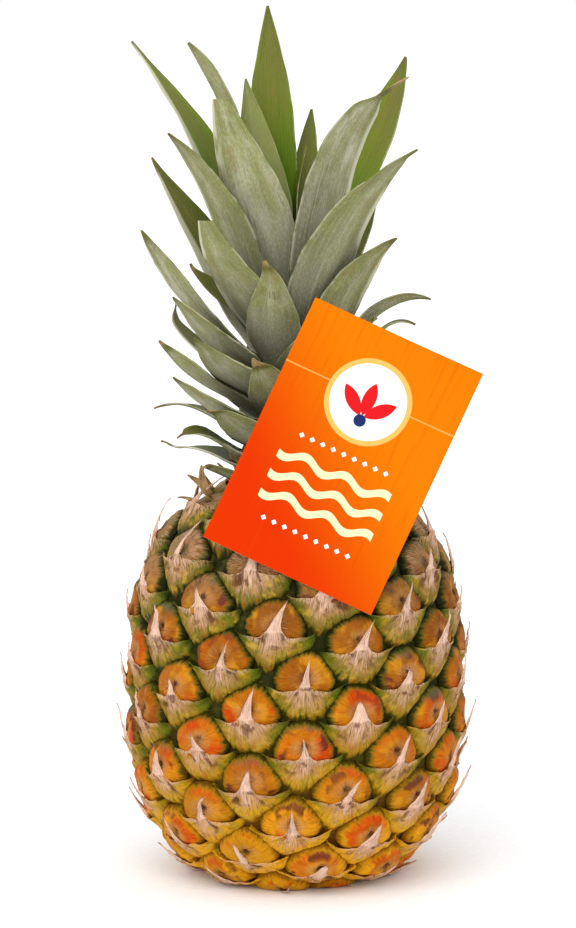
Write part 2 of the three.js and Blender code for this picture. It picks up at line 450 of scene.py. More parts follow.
@dataclass(frozen=True)
class WaxyRind:
    """Ripe pineapple rind as it grew: a waxy skin over each eye, orange where it has ripened.

    Wax gives it a soft gloss; the dried flower leaves a pale wrinkled middle with a dark pit.
    """

    ripe: tuple[str, ...] = ("#E4A212", "#C66E06", "#A65E0A", "#785222")
    rim: tuple[str, ...] = ("#C08408", "#76620C", "#4E4E12", "#3C3C14")
    groove: tuple[str, ...] = ("#94600A", "#3A360A", "#222808", "#20240C")
    dark: str = "#7C3E0A"
    light: str = "#D08E1C"
    blush: str = "#C03604"
    bruise: str = "#5A2420"
    heart: str = "#C88848"
    hair: str = "#E8C6A0"
    pit: str = "#4A201C"
    bloom: str = "#525A40"
    felt: str = "#B08A66"

    def material(self) -> bpy.types.Material:
        """Builds the node material."""
        made = Surface("waxy_ripe_rind", Specular_IOR_Level=0.05)
        place, _, up, _ = made.mark("eye_place")
        _, seed, tone, ageing = made.mark("eye_traits")
        share = made.add("VectorMath", {"operation": "LENGTH"}, {0: place}).outputs["Value"]
        spoke = made.add("VectorMath", {"operation": "NORMALIZE"}, {0: place})
        number = made.add("CombineXYZ", None, {2: seed})
        spoke = made.add("VectorMath", {"operation": "ADD"}, {0: spoke, 1: number})
        out = made.add("Math", {"operation": "MULTIPLY"}, {0: share, 1: EYE[0] / EYE[2]})
        ring = made.add("CombineXYZ", None, {2: out})
        rays = made.add("VectorMath", {"operation": "ADD"}, {0: spoke, 1: ring})
        # Folds run out to the rim 1.4 mm apart; the fibres between them are really 0.1 mm wide and
        # are drawn 0.5 mm wide, so that they show.
        flutes = made.pattern(rays, (1.4, 1.4, 6.2), units=EYE)
        hairs = made.pattern(rays, (0.5, 0.5, 3.6), units=EYE)
        # The rind ripens and bruises in patches half an eye and a third of an eye wide. The wax's
        # grain is really 0.2 mm and is drawn 1.1 mm wide.
        broad = made.pattern(made.here, (13.3, 13.3, 13.3), 4.0)
        patch = made.pattern(made.here, (7.7, 7.7, 7.7), 2.0)
        fine = made.pattern(made.here, (1.1, 1.1, 1.1))
        # The withered middle lies a little above and to the right of the dome's own.
        centre = made.add("VectorMath", {"operation": "SUBTRACT"}, {0: place, 1: (*PIT, 0.0)})
        centre = made.add("VectorMath", {"operation": "MULTIPLY"}, {0: centre, 1: (0.7, 1.0, 1.0)})
        centre = made.add("VectorMath", {"operation": "LENGTH"}, {0: centre}).outputs["Value"]
        ragged = made.add("Math", {"operation": "MULTIPLY_ADD"}, {0: flutes, 1: 0.34, 2: share})
        frayed = made.add("Math", {"operation": "MULTIPLY_ADD"}, {0: hairs, 1: 0.3, 2: centre})
        below_shoulder = Where(made.height, 110 * MM, 70 * MM)
        low_down = Where(made.height, 80 * MM, 50 * MM)
        off_base = Where(made.height, 30 * MM, 70 * MM)
        blushing = Where(broad, 0.47, 0.58, 0.85)
        blushing_rim = Where(patch, 0.47, 0.56, 0.7)
        stained = Where(broad, 0.44, 0.53, 0.9)
        bruised = Where(patch, 0.46, 0.38, 0.85)
        colour = made.paint(
            made.ripeness(*self.ripe),
            (self.dark, Where(tone, 0.5, 0.0, 0.5)),
            (self.light, Where(patch, 0.5, 0.64, 0.7), Where(share, 0.15, 0.5)),
            (self.blush, blushing, Where(tone, 0.15, 0.6), Where(share, 0.2, 0.55), below_shoulder),
            (self.blush, Where(up, 0.0, 0.7), blushing_rim, Where(share, 0.35, 0.7), low_down),
            (self.dark, Where(flutes, 0.47, 0.34, 0.4), Where(share, 0.45, 0.8)),
            (self.light, Where(flutes, 0.53, 0.7, 0.35), Where(share, 0.45, 0.8)),
            (self.bruise, bruised, Where(share, 0.4, 0.65), Where(ageing, 0.1, 0.7)),
            (self.heart, Where(frayed, 0.56, 0.28, 0.8), Where(broad, 0.36, 0.5)),
            (self.hair, Where(hairs, 0.52, 0.7, 0.45), Where(share, 0.6, 0.2)),
            (self.pit, Where(frayed, 0.27, 0.21, 0.8), Where(patch, 0.36, 0.5)),
            (self.felt, Where(made.height, 104 * MM, 126 * MM), Where(hairs, 0.4, 0.56)),
            (self.bloom, Where(made.height, 100 * MM, 125 * MM, 0.5), Where(patch, 0.5, 0.6)),
            (self.bloom, Where(up, 0.4, 0.8), stained, Where(ageing, 0.45, 0.75), off_base),
            (made.ripeness(*self.rim), Where(ragged, 0.92, 1.06, 0.85)),
            (made.ripeness(*self.groove), Where(ragged, 1.03, 1.13)),
        )
        rough = made.add("MapRange", None, {"Value": fine, "To Min": 0.38, "To Max": 0.6})
        coarse = made.add("Math", {"operation": "MULTIPLY_ADD"}, {0: hairs, 1: 0.5, 2: flutes})
        relief = made.add("Math", {"operation": "MULTIPLY_ADD"}, {0: fine, 1: 0.35, 2: coarse})
        return made.finish(colour, rough, relief, 0.9)


@dataclass(frozen=True)
class DryingBract:
    """The bract under each eye as it grew: fleshy and green at its foot, papery where it has dried.

    The fleshy part has a soft gloss under pale scurf in fans; the dry lip and tip are matt.
    """

    flesh: tuple[str, ...] = ("#E6A80C", "#A87E14", "#826E1A", "#66581E")
    groove: tuple[str, ...] = ("#A8740C", "#423C0A", "#262C08", "#22260C")
    corner: str = "#4E600E"
    rust: str = "#9E5410"
    straw: str = "#C09A30"
    yellow: str = "#B8960E"
    scurf: str = "#B98A64"
    ash: str = "#D2AA94"
    hollow: str = "#542A22"
    lip: str = "#D6A67C"
    paper: str = "#EAC4AC"
    browned: str = "#7A4826"

    def material(self) -> bpy.types.Material:
        """Builds the node material."""
        made = Surface("drying_bract", Specular_IOR_Level=0.08)
        place, across, body, along = made.mark("bract_place")
        _, seed, ageing, edge = made.mark("bract_traits")
        side = made.add("Math", {"operation": "ABSOLUTE"}, {0: across})
        shift = made.add("CombineXYZ", None, {0: seed})
        sockets = {0: shift, 1: (31.0, 0.0, 0.0), 2: place}  # far enough for another piece of pattern
        moved = made.add("VectorMath", {"operation": "MULTIPLY_ADD"}, sockets)
        # Scurf lies in fans 1.4 mm wide; the fibres are really 0.1 mm wide and are drawn 0.5 mm wide.
        fan = made.pattern(moved, (1.4, 7.5, 7.5), 4.0, BRACT)
        hairs = made.pattern(moved, (0.5, 3.5, 3.5), units=BRACT)
        # Patches that have browned are about 7 mm wide and dry flecks 4 mm. The dried skin's grain is
        # really 0.2 mm and is drawn 0.9 mm wide.
        broad = made.pattern(made.here, (6.7, 6.7, 6.7), 4.0)
        patch = made.pattern(made.here, (3.8, 3.8, 3.8))
        fine = made.pattern(made.here, (0.9, 0.9, 0.9))
        rooted = made.add("Math", {"operation": "MULTIPLY_ADD"}, {0: fan, 1: 0.7, 2: body})
        upper = Where(body, 0.2, 0.75)
        on_tip = Where(along, 0.0, 0.1)
        green = Where(made.height, 15 * MM, 50 * MM)
        beside_keel = Where(side, 0.14, 0.3)
        inside_wing = Where(side, 0.62, 0.4)
        sunken = Where(broad, 0.5, 0.6, 0.85)
        bare = Where(broad, 0.52, 0.62, 0.8)
        colour = made.paint(
            made.ripeness(*self.flesh),
            (self.straw, Where(patch, 0.5, 0.64, 0.8)),
            (self.rust, Where(fan, 0.5, 0.64, 0.65), Where(broad, 0.4, 0.56)),
            (self.corner, Where(side, 0.3, 0.8, 0.9), Where(broad, 0.4, 0.52), green),
            (self.corner, Where(fan, 0.46, 0.36, 0.6), Where(body, 0.8, 0.3), green),
            (self.scurf, Where(side, 0.7, 0.15, 0.85), Where(fan, 0.36, 0.58), upper),
            (self.scurf, Where(made.height, 100 * MM, 125 * MM, 0.8), Where(hairs, 0.44, 0.56), upper),
            (self.ash, Where(side, 0.5, 0.05, 0.95), Where(hairs, 0.42, 0.56), Where(body, 0.4, 0.8)),
            (self.yellow, Where(side, 0.15, 0.4), Where(side, 0.8, 0.55), bare, upper),
            (self.ash, Where(body, 0.72, 0.95), Where(side, 0.9, 0.4), Where(hairs, 0.38, 0.54, 0.8)),
            (self.hollow, beside_keel, inside_wing, Where(body, 0.35, 0.65), sunken),
            (self.paper, Where(hairs, 0.58, 0.68, 0.45), Where(side, 0.6, 0.2), upper),
            (self.hollow, Where(hairs, 0.42, 0.3, 0.5)),
            (self.hollow, Where(patch, 0.56, 0.66, 0.7), Where(side, 0.45, 0.2), upper),
            (made.ripeness(*self.groove), Where(rooted, 0.62, 0.42, 0.95)),
            (made.ripeness(*self.groove), Where(side, 0.72, 0.95, 0.8), Where(body, 0.95, 0.6), green),
            (self.lip, Where(edge, 0.95, 0.99), Where(hairs, 0.38, 0.5), Where(side, 0.85, 0.4)),
            (self.paper, Where(along, 0.0, 0.05)),
            (self.ash, on_tip, Where(fan, 0.44, 0.56, 0.7)),
            (self.paper, on_tip, Where(edge, 0.8, 0.97)),
            (self.browned, on_tip, Where(hairs, 0.52, 0.64, 0.6), Where(ageing, 0.0, 1.0)),
            (self.browned, Where(along, 0.75, 1.05, 0.9)),
        )
        rough = made.add("MapRange", None, {"Value": body, "To Min": 0.5, "To Max": 0.85})
        coarse = made.add("Math", {"operation": "MULTIPLY_ADD"}, {0: hairs, 1: 0.6, 2: fan})
        relief = made.add("Math", {"operation": "MULTIPLY_ADD"}, {0: fine, 1: 0.3, 2: coarse})
        return made.finish(colour, rough, relief, 1.0)


@dataclass(frozen=True)
class GrooveSkin:
    """Living rind between the eyes as it grew: dark green, matt and a little rough."""

    shades: tuple[str, ...] = ("#74480C", "#383008", "#262806", "#242008")
    light: str = "#4E4C12"

    def material(self) -> bpy.types.Material:
        """Builds the node material."""
        made = Surface("groove_skin", Specular_IOR_Level=0.1)
        blotch = made.pattern(made.here, (6.2, 6.2, 6.2), 5.0)  # patches as wide as a groove
        colour = made.paint(made.ripeness(*self.shades), (self.light, Where(blotch, 0.46, 0.66, 0.7)))
        return made.finish(colour, 0.7, blotch, 0.8)


@dataclass(frozen=True)
class CutBase:
    """The base as it was cut and has dried: a fibrous tan core in a ring of rind."""

    flesh: str = "#C9A763"
    heart: str = "#DCC48C"
    fibre: str = "#8C6A3A"
    crust: str = "#6E4A22"

    def material(self) -> bpy.types.Material:
        """Builds the node material."""
        made = Surface("dried_cut_stalk", Specular_IOR_Level=0.1)
        fibres = made.pattern(made.here, (0.7, 0.7, 11.0), 4.0)  # the stalk's fibre bundles, end on
        blotch = made.pattern(made.here, (9.0, 9.0, 9.0), 4.0)  # patches that have browned
        radius = made.add("VectorMath", {"operation": "LENGTH"}, {0: made.here}).outputs["Value"]
        colour = made.paint(
            self.flesh,
            (self.heart, Where(radius, 12.5 * MM, 10.0 * MM, 0.8)),
            (self.fibre, Where(fibres, 0.46, 0.66, 0.8)),
            (self.fibre, Where(blotch, 0.5, 0.64, 0.7)),
            (self.crust, Where(radius, 22.0 * MM, 26.5 * MM, 0.85)),
            (self.crust, Where(radius, 12.0 * MM, 14.0 * MM), Where(radius, 18.0 * MM, 15.0 * MM, 0.8)),
        )
        return made.finish(colour, 0.85, fibres, 1.0)


@dataclass(frozen=True)
class ScurfyLeaf:
    """A crown leaf as it grew: silvery scurf in fine stripes outside, bare green inside.

    Scurf is a layer of pale scales, so the outer face is matt and the inner one has a soft gloss.
    """

    name: str
    green: str
    scurf: str
    inside: str
    inside_deep: str
    # painted shade for the leaf's foot among the other leaves, and the colour of its dark flecks
    shade_and_fleck: str = "#6C6A58"
    leafy: str = "#8A9250"
    pale: str = "#CDCAB0"
    rust: str = "#8A6E3C"
    olive: str = "#6E6A34"
    tan: str = "#AC9264"
    brown: str = "#62492E"

    def material(self) -> bpy.types.Material:
        """Builds the node material."""
        made = Surface(self.name, Specular_IOR_Level=0.12)
        place, across, along, face = made.mark("leaf_place")
        _, seed, dry, rim = made.mark("leaf_traits")
        _, fresh, silver, _ = made.mark("leaf_tone")
        side = made.add("Math", {"operation": "ABSOLUTE"}, {0: across})
        shift = made.add("CombineXYZ", None, {0: seed})
        sockets = {0: shift, 1: (57.0, 0.0, 0.0), 2: place}  # far enough for another piece of pattern
        moved = made.add("VectorMath", {"operation": "MULTIPLY_ADD"}, sockets)
        # Veins run along the leaf 1.4 mm apart. The rows of scurf between them are really 0.2 mm wide
        # and are drawn 0.4 mm wide.
        stripes = made.pattern(moved, (1.4, 80.0, 0.0), 4.0, LEAF)
        hairs = made.pattern(moved, (0.42, 22.0, 0.0), units=LEAF)
        # Green shows through in clouds a third of a leaf wide, and scurf has rubbed off or rusted in
        # blots of 8 mm and flecks of 3 mm. Its scales are really 0.1 mm and are drawn 0.5 mm wide.
        clouds = made.pattern(moved, (8.5, 37.0, 0.0), units=LEAF)
        blots = made.pattern(made.here, (8.3, 8.3, 8.3), 4.0)
        mottle = made.pattern(made.here, (3.3, 3.3, 8.3), 4.0)
        grain = made.pattern(made.here, (0.53, 0.53, 1.4), 2.0)
        tint = made.add("Math", {"operation": "MULTIPLY_ADD"}, {0: along, 1: 0.45, 2: clouds})
        tint = made.add("Math", {"operation": "MULTIPLY_ADD"}, {0: fresh, 1: 0.7, 2: tint})
        curled = made.add("Math", {"operation": "MULTIPLY"}, {0: across, 1: rim})
        coat = made.paint(
            self.scurf,
            (self.pale, Where(silver, 0.0, 1.0, 0.9)),
            (self.green, Where(tint, 0.62, 1.0, 0.8)),
            (self.green, Where(side, 0.55, 1.0, 0.4)),
            # Painted shade: the leaf darkens towards its foot, where the leaves round it shade it.
            (self.shade_and_fleck, Where(along, 0.75, 0.05, 0.95)),
            (self.pale, Where(side, 0.5, 0.0, 0.3), Where(along, 0.1, 0.4)),
            (self.green, Where(stripes, 0.48, 0.34, 0.2)),
            (self.pale, Where(stripes, 0.54, 0.7, 0.15)),
            (self.leafy, Where(mottle, 0.46, 0.64, 0.5), Where(along, 0.2, 0.6)),
            (self.green, Where(hairs, 0.54, 0.68, 0.3)),
            (self.shade_and_fleck, Where(grain, 0.46, 0.64, 0.25)),
            (self.pale, Where(grain, 0.48, 0.34, 0.15)),
            (self.shade_and_fleck, Where(hairs, 0.46, 0.32, 0.4)),
            (self.rust, Where(blots, 0.5, 0.66, 0.5), Where(hairs, 0.4, 0.56), Where(along, 0.3, 0.8)),
            (self.olive, Where(blots, 0.5, 0.38, 0.5), Where(hairs, 0.58, 0.42), Where(along, 0.2, 0.5)),
            (self.leafy, Where(fresh, 0.5, 0.8, 0.7)),
            (self.pale, Where(curled, 0.6, 0.84, 0.8), Where(clouds, 0.4, 0.5)),
        )
        bare = made.paint(
            self.inside,
            (self.inside_deep, Where(stripes, 0.53, 0.38, 0.3)),
            (self.inside_deep, Where(along, 0.75, 0.2, 0.9)),
            (self.olive, Where(along, 0.35, 0.95, 0.9), Where(clouds, 0.36, 0.56)),
            (self.rust, Where(side, 0.3, 0.05, 0.35), Where(along, 0.3, 0.6), Where(stripes, 0.46, 0.56)),
            (self.inside_deep, Where(grain, 0.5, 0.66, 0.3)),
            (self.pale, Where(curled, 0.5, 0.7, 0.85)),
        )
        worn = made.add("Math", {"operation": "MULTIPLY_ADD"}, {0: stripes, 1: 0.12, 2: along})
        left = made.add("Math", {"operation": "ADD"}, {0: worn, 1: dry})
        colour = made.paint(
            bare,
            (coat, Where(face, 0.4, 0.6)),
            (self.pale, Where(side, 0.93, 0.99, 0.35), Where(blots, 0.45, 0.55)),
            (self.olive, Where(left, 1.0, 1.08)),
            (self.tan, Where(left, 1.08, 1.14)),
            (self.brown, Where(left, 1.05, 1.12, 0.75), Where(blots, 0.46, 0.56)),
        )
        rough = made.add("MapRange", None, {"Value": face, "To Min": 0.5, "To Max": 0.75})
        coarse = made.add("Math", {"operation": "MULTIPLY_ADD"}, {0: hairs, 1: 0.5, 2: stripes})
        relief = made.add("Math", {"operation": "MULTIPLY_ADD"}, {0: grain, 1: 0.3, 2: coarse})
        return made.finish(colour, rough, relief, 0.45)


@dataclass(frozen=True)
class PaperyScale:
    """Dead scale leaves round the neck as they dried: tan, streaked with brown, matt."""

    light: str = "#D0AA74"
    dark: str = "#74492A"
    green: str = "#74703C"

    def material(self) -> bpy.types.Material:
        """Builds the node material."""
        made = Surface("dried_scale_leaf", Specular_IOR_Level=0.1)
        place, _, along, _ = made.mark("leaf_place")
        streaks = made.pattern(place, (0.25, 5.5, 0.33), 4.0, SCALE)  # dried veins
        blotch = made.pattern(made.here, (7.1, 7.1, 7.1), 4.0)  # patches that have browned
        colour = made.paint(
            self.light,
            (self.dark, Where(streaks, 0.5, 0.72)),
            (self.dark, Where(blotch, 0.54, 0.68, 0.6)),
            (self.green, Where(along, 0.4, 0.05, 0.8)),
        )
        return made.finish(colour, 0.75, streaks, 0.7)


@dataclass(frozen=True)
class PaleStem:
    """The crown's stem as it grew under the leaves: pale, fibrous and matt."""

    light: str = "#C8C49A"
    dark: str = "#8E8A5A"

    def material(self) -> bpy.types.Material:
        """Builds the node material."""
        made = Surface("fibrous_stem", Specular_IOR_Level=0.1)
        fibres = made.pattern(made.here, (1.7, 1.7, 17.0), 4.0)  # strands under the skin
        colour = made.paint(self.light, (self.dark, Where(fibres, 0.42, 0.62)))
        return made.finish(colour, 0.7, fibres, 0.6)


@dataclass(frozen=True)
class PrintedCard:
    """Coated card, offset printed: an even orange wash with faint plank grain and plain shapes.

    The coating gives it a satin gloss; the cut edges and the back show pale uncoated board.
    Places and sizes are in millimetres, across the card and up it from its middle.
    """

    upper: str = "#D47000"
    lower: str = "#CC2E00"
    plank: str = "#C93E00"
    pale: str = "#FBAE58"
    cream: str = "#FBE3AC"
    white: str = "#F4F4F2"
    red: str = "#CE1A1E"
    navy: str = "#1E2C5E"
    board: str = "#E9DCC6"
    slant: float = 0.9  # the wash rises this much across the card for 1 up it
    wash: tuple[float, float] = (-46.0, 30.0)  # where it starts and ends
    grain: tuple[float, float, float] = (1.8, 33.0, 0.0)  # width and length of the printed streaks
    fold: float = 22.0  # height of the pale line printed across the card; the card is not folded there
    badge: tuple[float, float] = (0.0, 20.5)
    badge_radius: float = 13.5
    rim_radius: float = 15.3
    berry: tuple[float, float] = (0.0, 13.5)
    berry_radius: float = 2.2
    leaf_foot: tuple[float, float] = (0.0, 14.5)
    leaf_turns: tuple[float, ...] = (-48.0, 0.0, 48.0)
    leaf_width: float = 4.8
    leaf_reach: float = 7.0  # from its foot to its middle
    leaf_arc: float = 9.0  # radius of both its edges
    bands: tuple[float, ...] = (-7.5, -15.0, -22.5)
    band_length: float = 42.0
    band_width: float = 2.8
    wave_length: float = 15.0
    wave_height: float = 1.5  # either way
    rows: tuple[float, ...] = (0.5, -31.0)
    row_length: float = 36.0
    dot_step: float = 4.0
    dot_width: float = 2.0
    soft: float = 0.1  # how far a printed edge blurs, either way

    def material(self) -> bpy.types.Material:
        """Builds the node material."""
        made = Surface("satin_printed_card", Specular_IOR_Level=0.02)
        place, across, up, face = made.mark("card_place")
        slope = made.add("Math", {"operation": "MULTIPLY_ADD"}, {0: across, 1: self.slant, 2: up})
        planks = made.pattern(place, self.grain, 5.0, CARD)
        fold = self.off(made, up, self.fold)
        disc = self.apart(made, place, self.badge)
        berry = self.apart(made, place, self.berry)
        sprig = [self.leaf(made, place, turn) for turn in self.leaf_turns]
        turns = made.add("Math", {"operation": "MULTIPLY"}, {0: across, 1: math.tau / self.wave_length})
        wave = made.add("Math", {"operation": "SINE"}, {0: turns})
        wave = made.add("Math", {"operation": "MULTIPLY_ADD"}, {0: wave, 1: -self.wave_height, 2: up})
        bands = [self.off(made, wave, height) for height in self.bands]
        cell = made.add("Math", {"operation": "PINGPONG"}, {0: across, 1: self.dot_step / 2})
        rows = [self.off(made, up, height) for height in self.rows]
        dots = [made.add("Math", {"operation": "ADD"}, {0: row, 1: cell}) for row in rows]
        width = made.add("Math", {"operation": "ABSOLUTE"}, {0: across})
        band_end = self.within(width, self.band_length / 2)
        row_end = self.within(width, self.row_length / 2)
        colour = made.paint(
            self.lower,
            (self.upper, Where(slope, *self.wash)),
            (self.plank, Where(planks, 0.5, 0.72, 0.3)),
            (self.pale, Where(fold, 0.35, 0.2, 0.6)),
            (self.pale, self.within(disc, self.rim_radius)),
            (self.white, self.within(disc, self.badge_radius)),
            *[(self.red, self.within(leaf, self.leaf_arc)) for leaf in sprig],
            (self.navy, self.within(berry, self.berry_radius)),
            *[(self.cream, self.within(band, self.band_width / 2), band_end) for band in bands],
            *[(self.white, self.within(dot, self.dot_width / 2), row_end) for dot in dots],
            (self.board, Where(face, 0.9, 0.6)),
        )
        return made.finish(colour, 0.42, planks, 0.02)

    def within(self, distance: object, reach: float) -> Where:
        """A print that covers what lies nearer than its reach."""
        return Where(distance, reach + self.soft, reach - self.soft)

    def leaf(self, made: Surface, place: object, turn: float) -> object:
        """How far each point lies from the farther of the two arcs' centres that bound a leaf.

        Args:
            made: The material.
            place: Places on the card.
            turn: How far the leaf leans to the right, in degrees.

        Returns:
            Millimetres; the leaf is where this is less than leaf_arc.
        """
        angle = math.radians(turn)
        offset = self.leaf_arc - self.leaf_width / 2
        x = self.leaf_foot[0] + self.leaf_reach * math.sin(angle)
        y = self.leaf_foot[1] + self.leaf_reach * math.cos(angle)
        ends = [(x + s * math.cos(angle), y - s * math.sin(angle)) for s in (-offset, offset)]
        distances = {socket: self.apart(made, place, end) for socket, end in enumerate(ends)}
        return made.add("Math", {"operation": "MAXIMUM"}, distances)

    @staticmethod
    def off(made: Surface, value: object, middle: float) -> object:
        """How far a value lies from a middle one, either way."""
        away = made.add("Math", {"operation": "SUBTRACT"}, {0: value, 1: middle})
        return made.add("Math", {"operation": "ABSOLUTE"}, {0: away})

    @staticmethod
    def apart(made: Surface, place: object, centre: tuple[float, float]) -> object:
        """The distance from a point on the card, in millimetres."""
        away = made.add("VectorMath", {"operation": "SUBTRACT"}, {0: place, 1: (*centre, 0.0)})
        flat = made.add("VectorMath", {"operation": "MULTIPLY"}, {0: away, 1: (1.0, 1.0, 0.0)})
        return made.add("VectorMath", {"operation": "LENGTH"}, {0: flat}).outputs["Value"]


# ---------------------------------------------------------------- the fruit
@dataclass(frozen=True)
class FruitForm:
    """Outline of the fruit, the CAD part's own."""

    waist_height: float = 64.0
    waist_radius: float = 59.4
    upper_reach: float = 78.5  # from the waist up to where the outline would close
    upper_power: float = 2.9  # higher gives a squarer shoulder
    lower_reach: float = 68.5
    lower_power: float = 2.55
    neck_height: float = 141.0

    def radius(self, height: np.ndarray) -> np.ndarray:
        """The flank's radius at each height."""
        above = height > self.waist_height
        reach = np.where(above, self.upper_reach, self.lower_reach)
        power = np.where(above, self.upper_power, self.lower_power)
        share = np.abs(height - self.waist_height) / reach
        return self.waist_radius * np.maximum(0, 1 - share**power) ** (1 / power)


class Flank:
    """The fruit's flank as a chart: an azimuth and a distance up the skin give a place on it."""

    FINE_STEPS = 2000
    END_STEPS = 20  # steps that set the slope beyond each end
    SLOPE_STEP = 0.4  # half the stretch of skin that a slope is measured over
    PRESS_FROM = 0.5  # skin lower than this is pressed flat
    PRESS_DEPTH = 0.4  # into a layer this deep
    TUCK = 1.1  # how far up skin is tucked inside the cut's rim
    TUCK_RADII = (27.5, 26.0)  # where that starts and where it is whole
    TUCK_HEIGHTS = (3.0, 0.5)

    def __init__(self, form: FruitForm) -> None:
        """Measures the flank from the cut base to the neck."""
        self.heights = np.linspace(0, form.neck_height, self.FINE_STEPS + 1)
        self.radii = form.radius(self.heights)
        steps = np.hypot(np.diff(self.heights), np.diff(self.radii))
        self.distances = np.concatenate([[0], np.cumsum(steps)])
        self.top = self.distances[-1]

    def radius(self, distance: np.ndarray) -> np.ndarray:
        """The radius at a distance up the skin, held at its ends."""
        return np.interp(distance, self.distances, self.radii)

    def carried_on(self, distance: np.ndarray, values: np.ndarray) -> np.ndarray:
        """Values along the skin, carried straight on past both ends."""
        steps = self.END_STEPS
        low = (values[steps] - values[0]) / (self.distances[steps] - self.distances[0])
        high = (values[-1] - values[-1 - steps]) / (self.distances[-1] - self.distances[-1 - steps])
        inside = np.interp(distance, self.distances, values)
        return inside + low * np.minimum(distance, 0) + high * np.maximum(distance - self.top, 0)

    def place(self, azimuth: np.ndarray, distance: np.ndarray, lift: np.ndarray) -> np.ndarray:
        """Places at a height over the skin, cut off flat at the base.

        Args:
            azimuth: Radians round the axis.
            distance: How far up the skin.
            lift: How far out of it.

        Returns:
            Places, with x, y, z on the last axis.
        """
        curves = (self.heights, self.radii)
        ahead, behind = distance + self.SLOPE_STEP, distance - self.SLOPE_STEP
        height_above, radius_above = [self.carried_on(ahead, curve) for curve in curves]
        height_below, radius_below = [self.carried_on(behind, curve) for curve in curves]
        rise, swell = height_above - height_below, radius_above - radius_below
        length = np.hypot(rise, swell)
        radius = (radius_above + radius_below) / 2 + lift * rise / length
        height = (height_above + height_below) / 2 - lift * swell / length
        radius, height, azimuth = np.broadcast_arrays(radius, height, azimuth)
        height = self.pressed(height, radius)
        return np.stack([radius * np.sin(azimuth), -radius * np.cos(azimuth), height], -1)

    def pressed(self, height: np.ndarray, radius: np.ndarray) -> np.ndarray:
        """Presses skin that hangs under the cut base up against it, in the order in which it lies.

        Args:
            height: Heights over the base, some of them under it.
            radius: Distances from the axis; near it the skin is tucked up into the cut.

        Returns:
            Heights over the base.
        """
        under = np.maximum(0, self.PRESS_FROM - height)
        squeezed = height + under - self.PRESS_DEPTH * under / (under + self.PRESS_DEPTH)
        tucked = smooth(radius, *self.TUCK_RADII) * smooth(height, *self.TUCK_HEIGHTS)
        return squeezed + self.TUCK * tucked


@dataclass(frozen=True)
class EyeSpiral:
    """The spiral that the eyes sit on, the CAD part's own."""

    turn: float = 137.34  # degrees from one eye to the next
    start_azimuth: float = -104.0
    first_rise: float = 1.5  # how far up the flank eye number 0 sits
    cell_area: float = 476.0  # skin that one eye takes up
    rows: int = 8  # parallel rows that climb to the right
    row_step: float = 18.7  # degrees from one eye to the next along a row
    row_slip: tuple[float, ...] = (0, -0.28, -0.52, -0.31, -0.33, -0.49, -0.35, -0.15)  # in eyes
    skew: float = 5.6  # how much higher the spiral runs on the right than in the middle
    beyond: float = 22.0  # the spiral is carried on this far past both ends


@dataclass(frozen=True)
class Outline:
    """What bounds a shape inside its cell, in millimetres about a point drop under the dome's middle."""

    drop: float
    inset: float  # room kept to the cell's own outline
    half_width: float
    half_height: float
    depth: float = 99.0  # where it is cut off level below the point
    sharpness: float = 8.0  # higher gives sharper corners


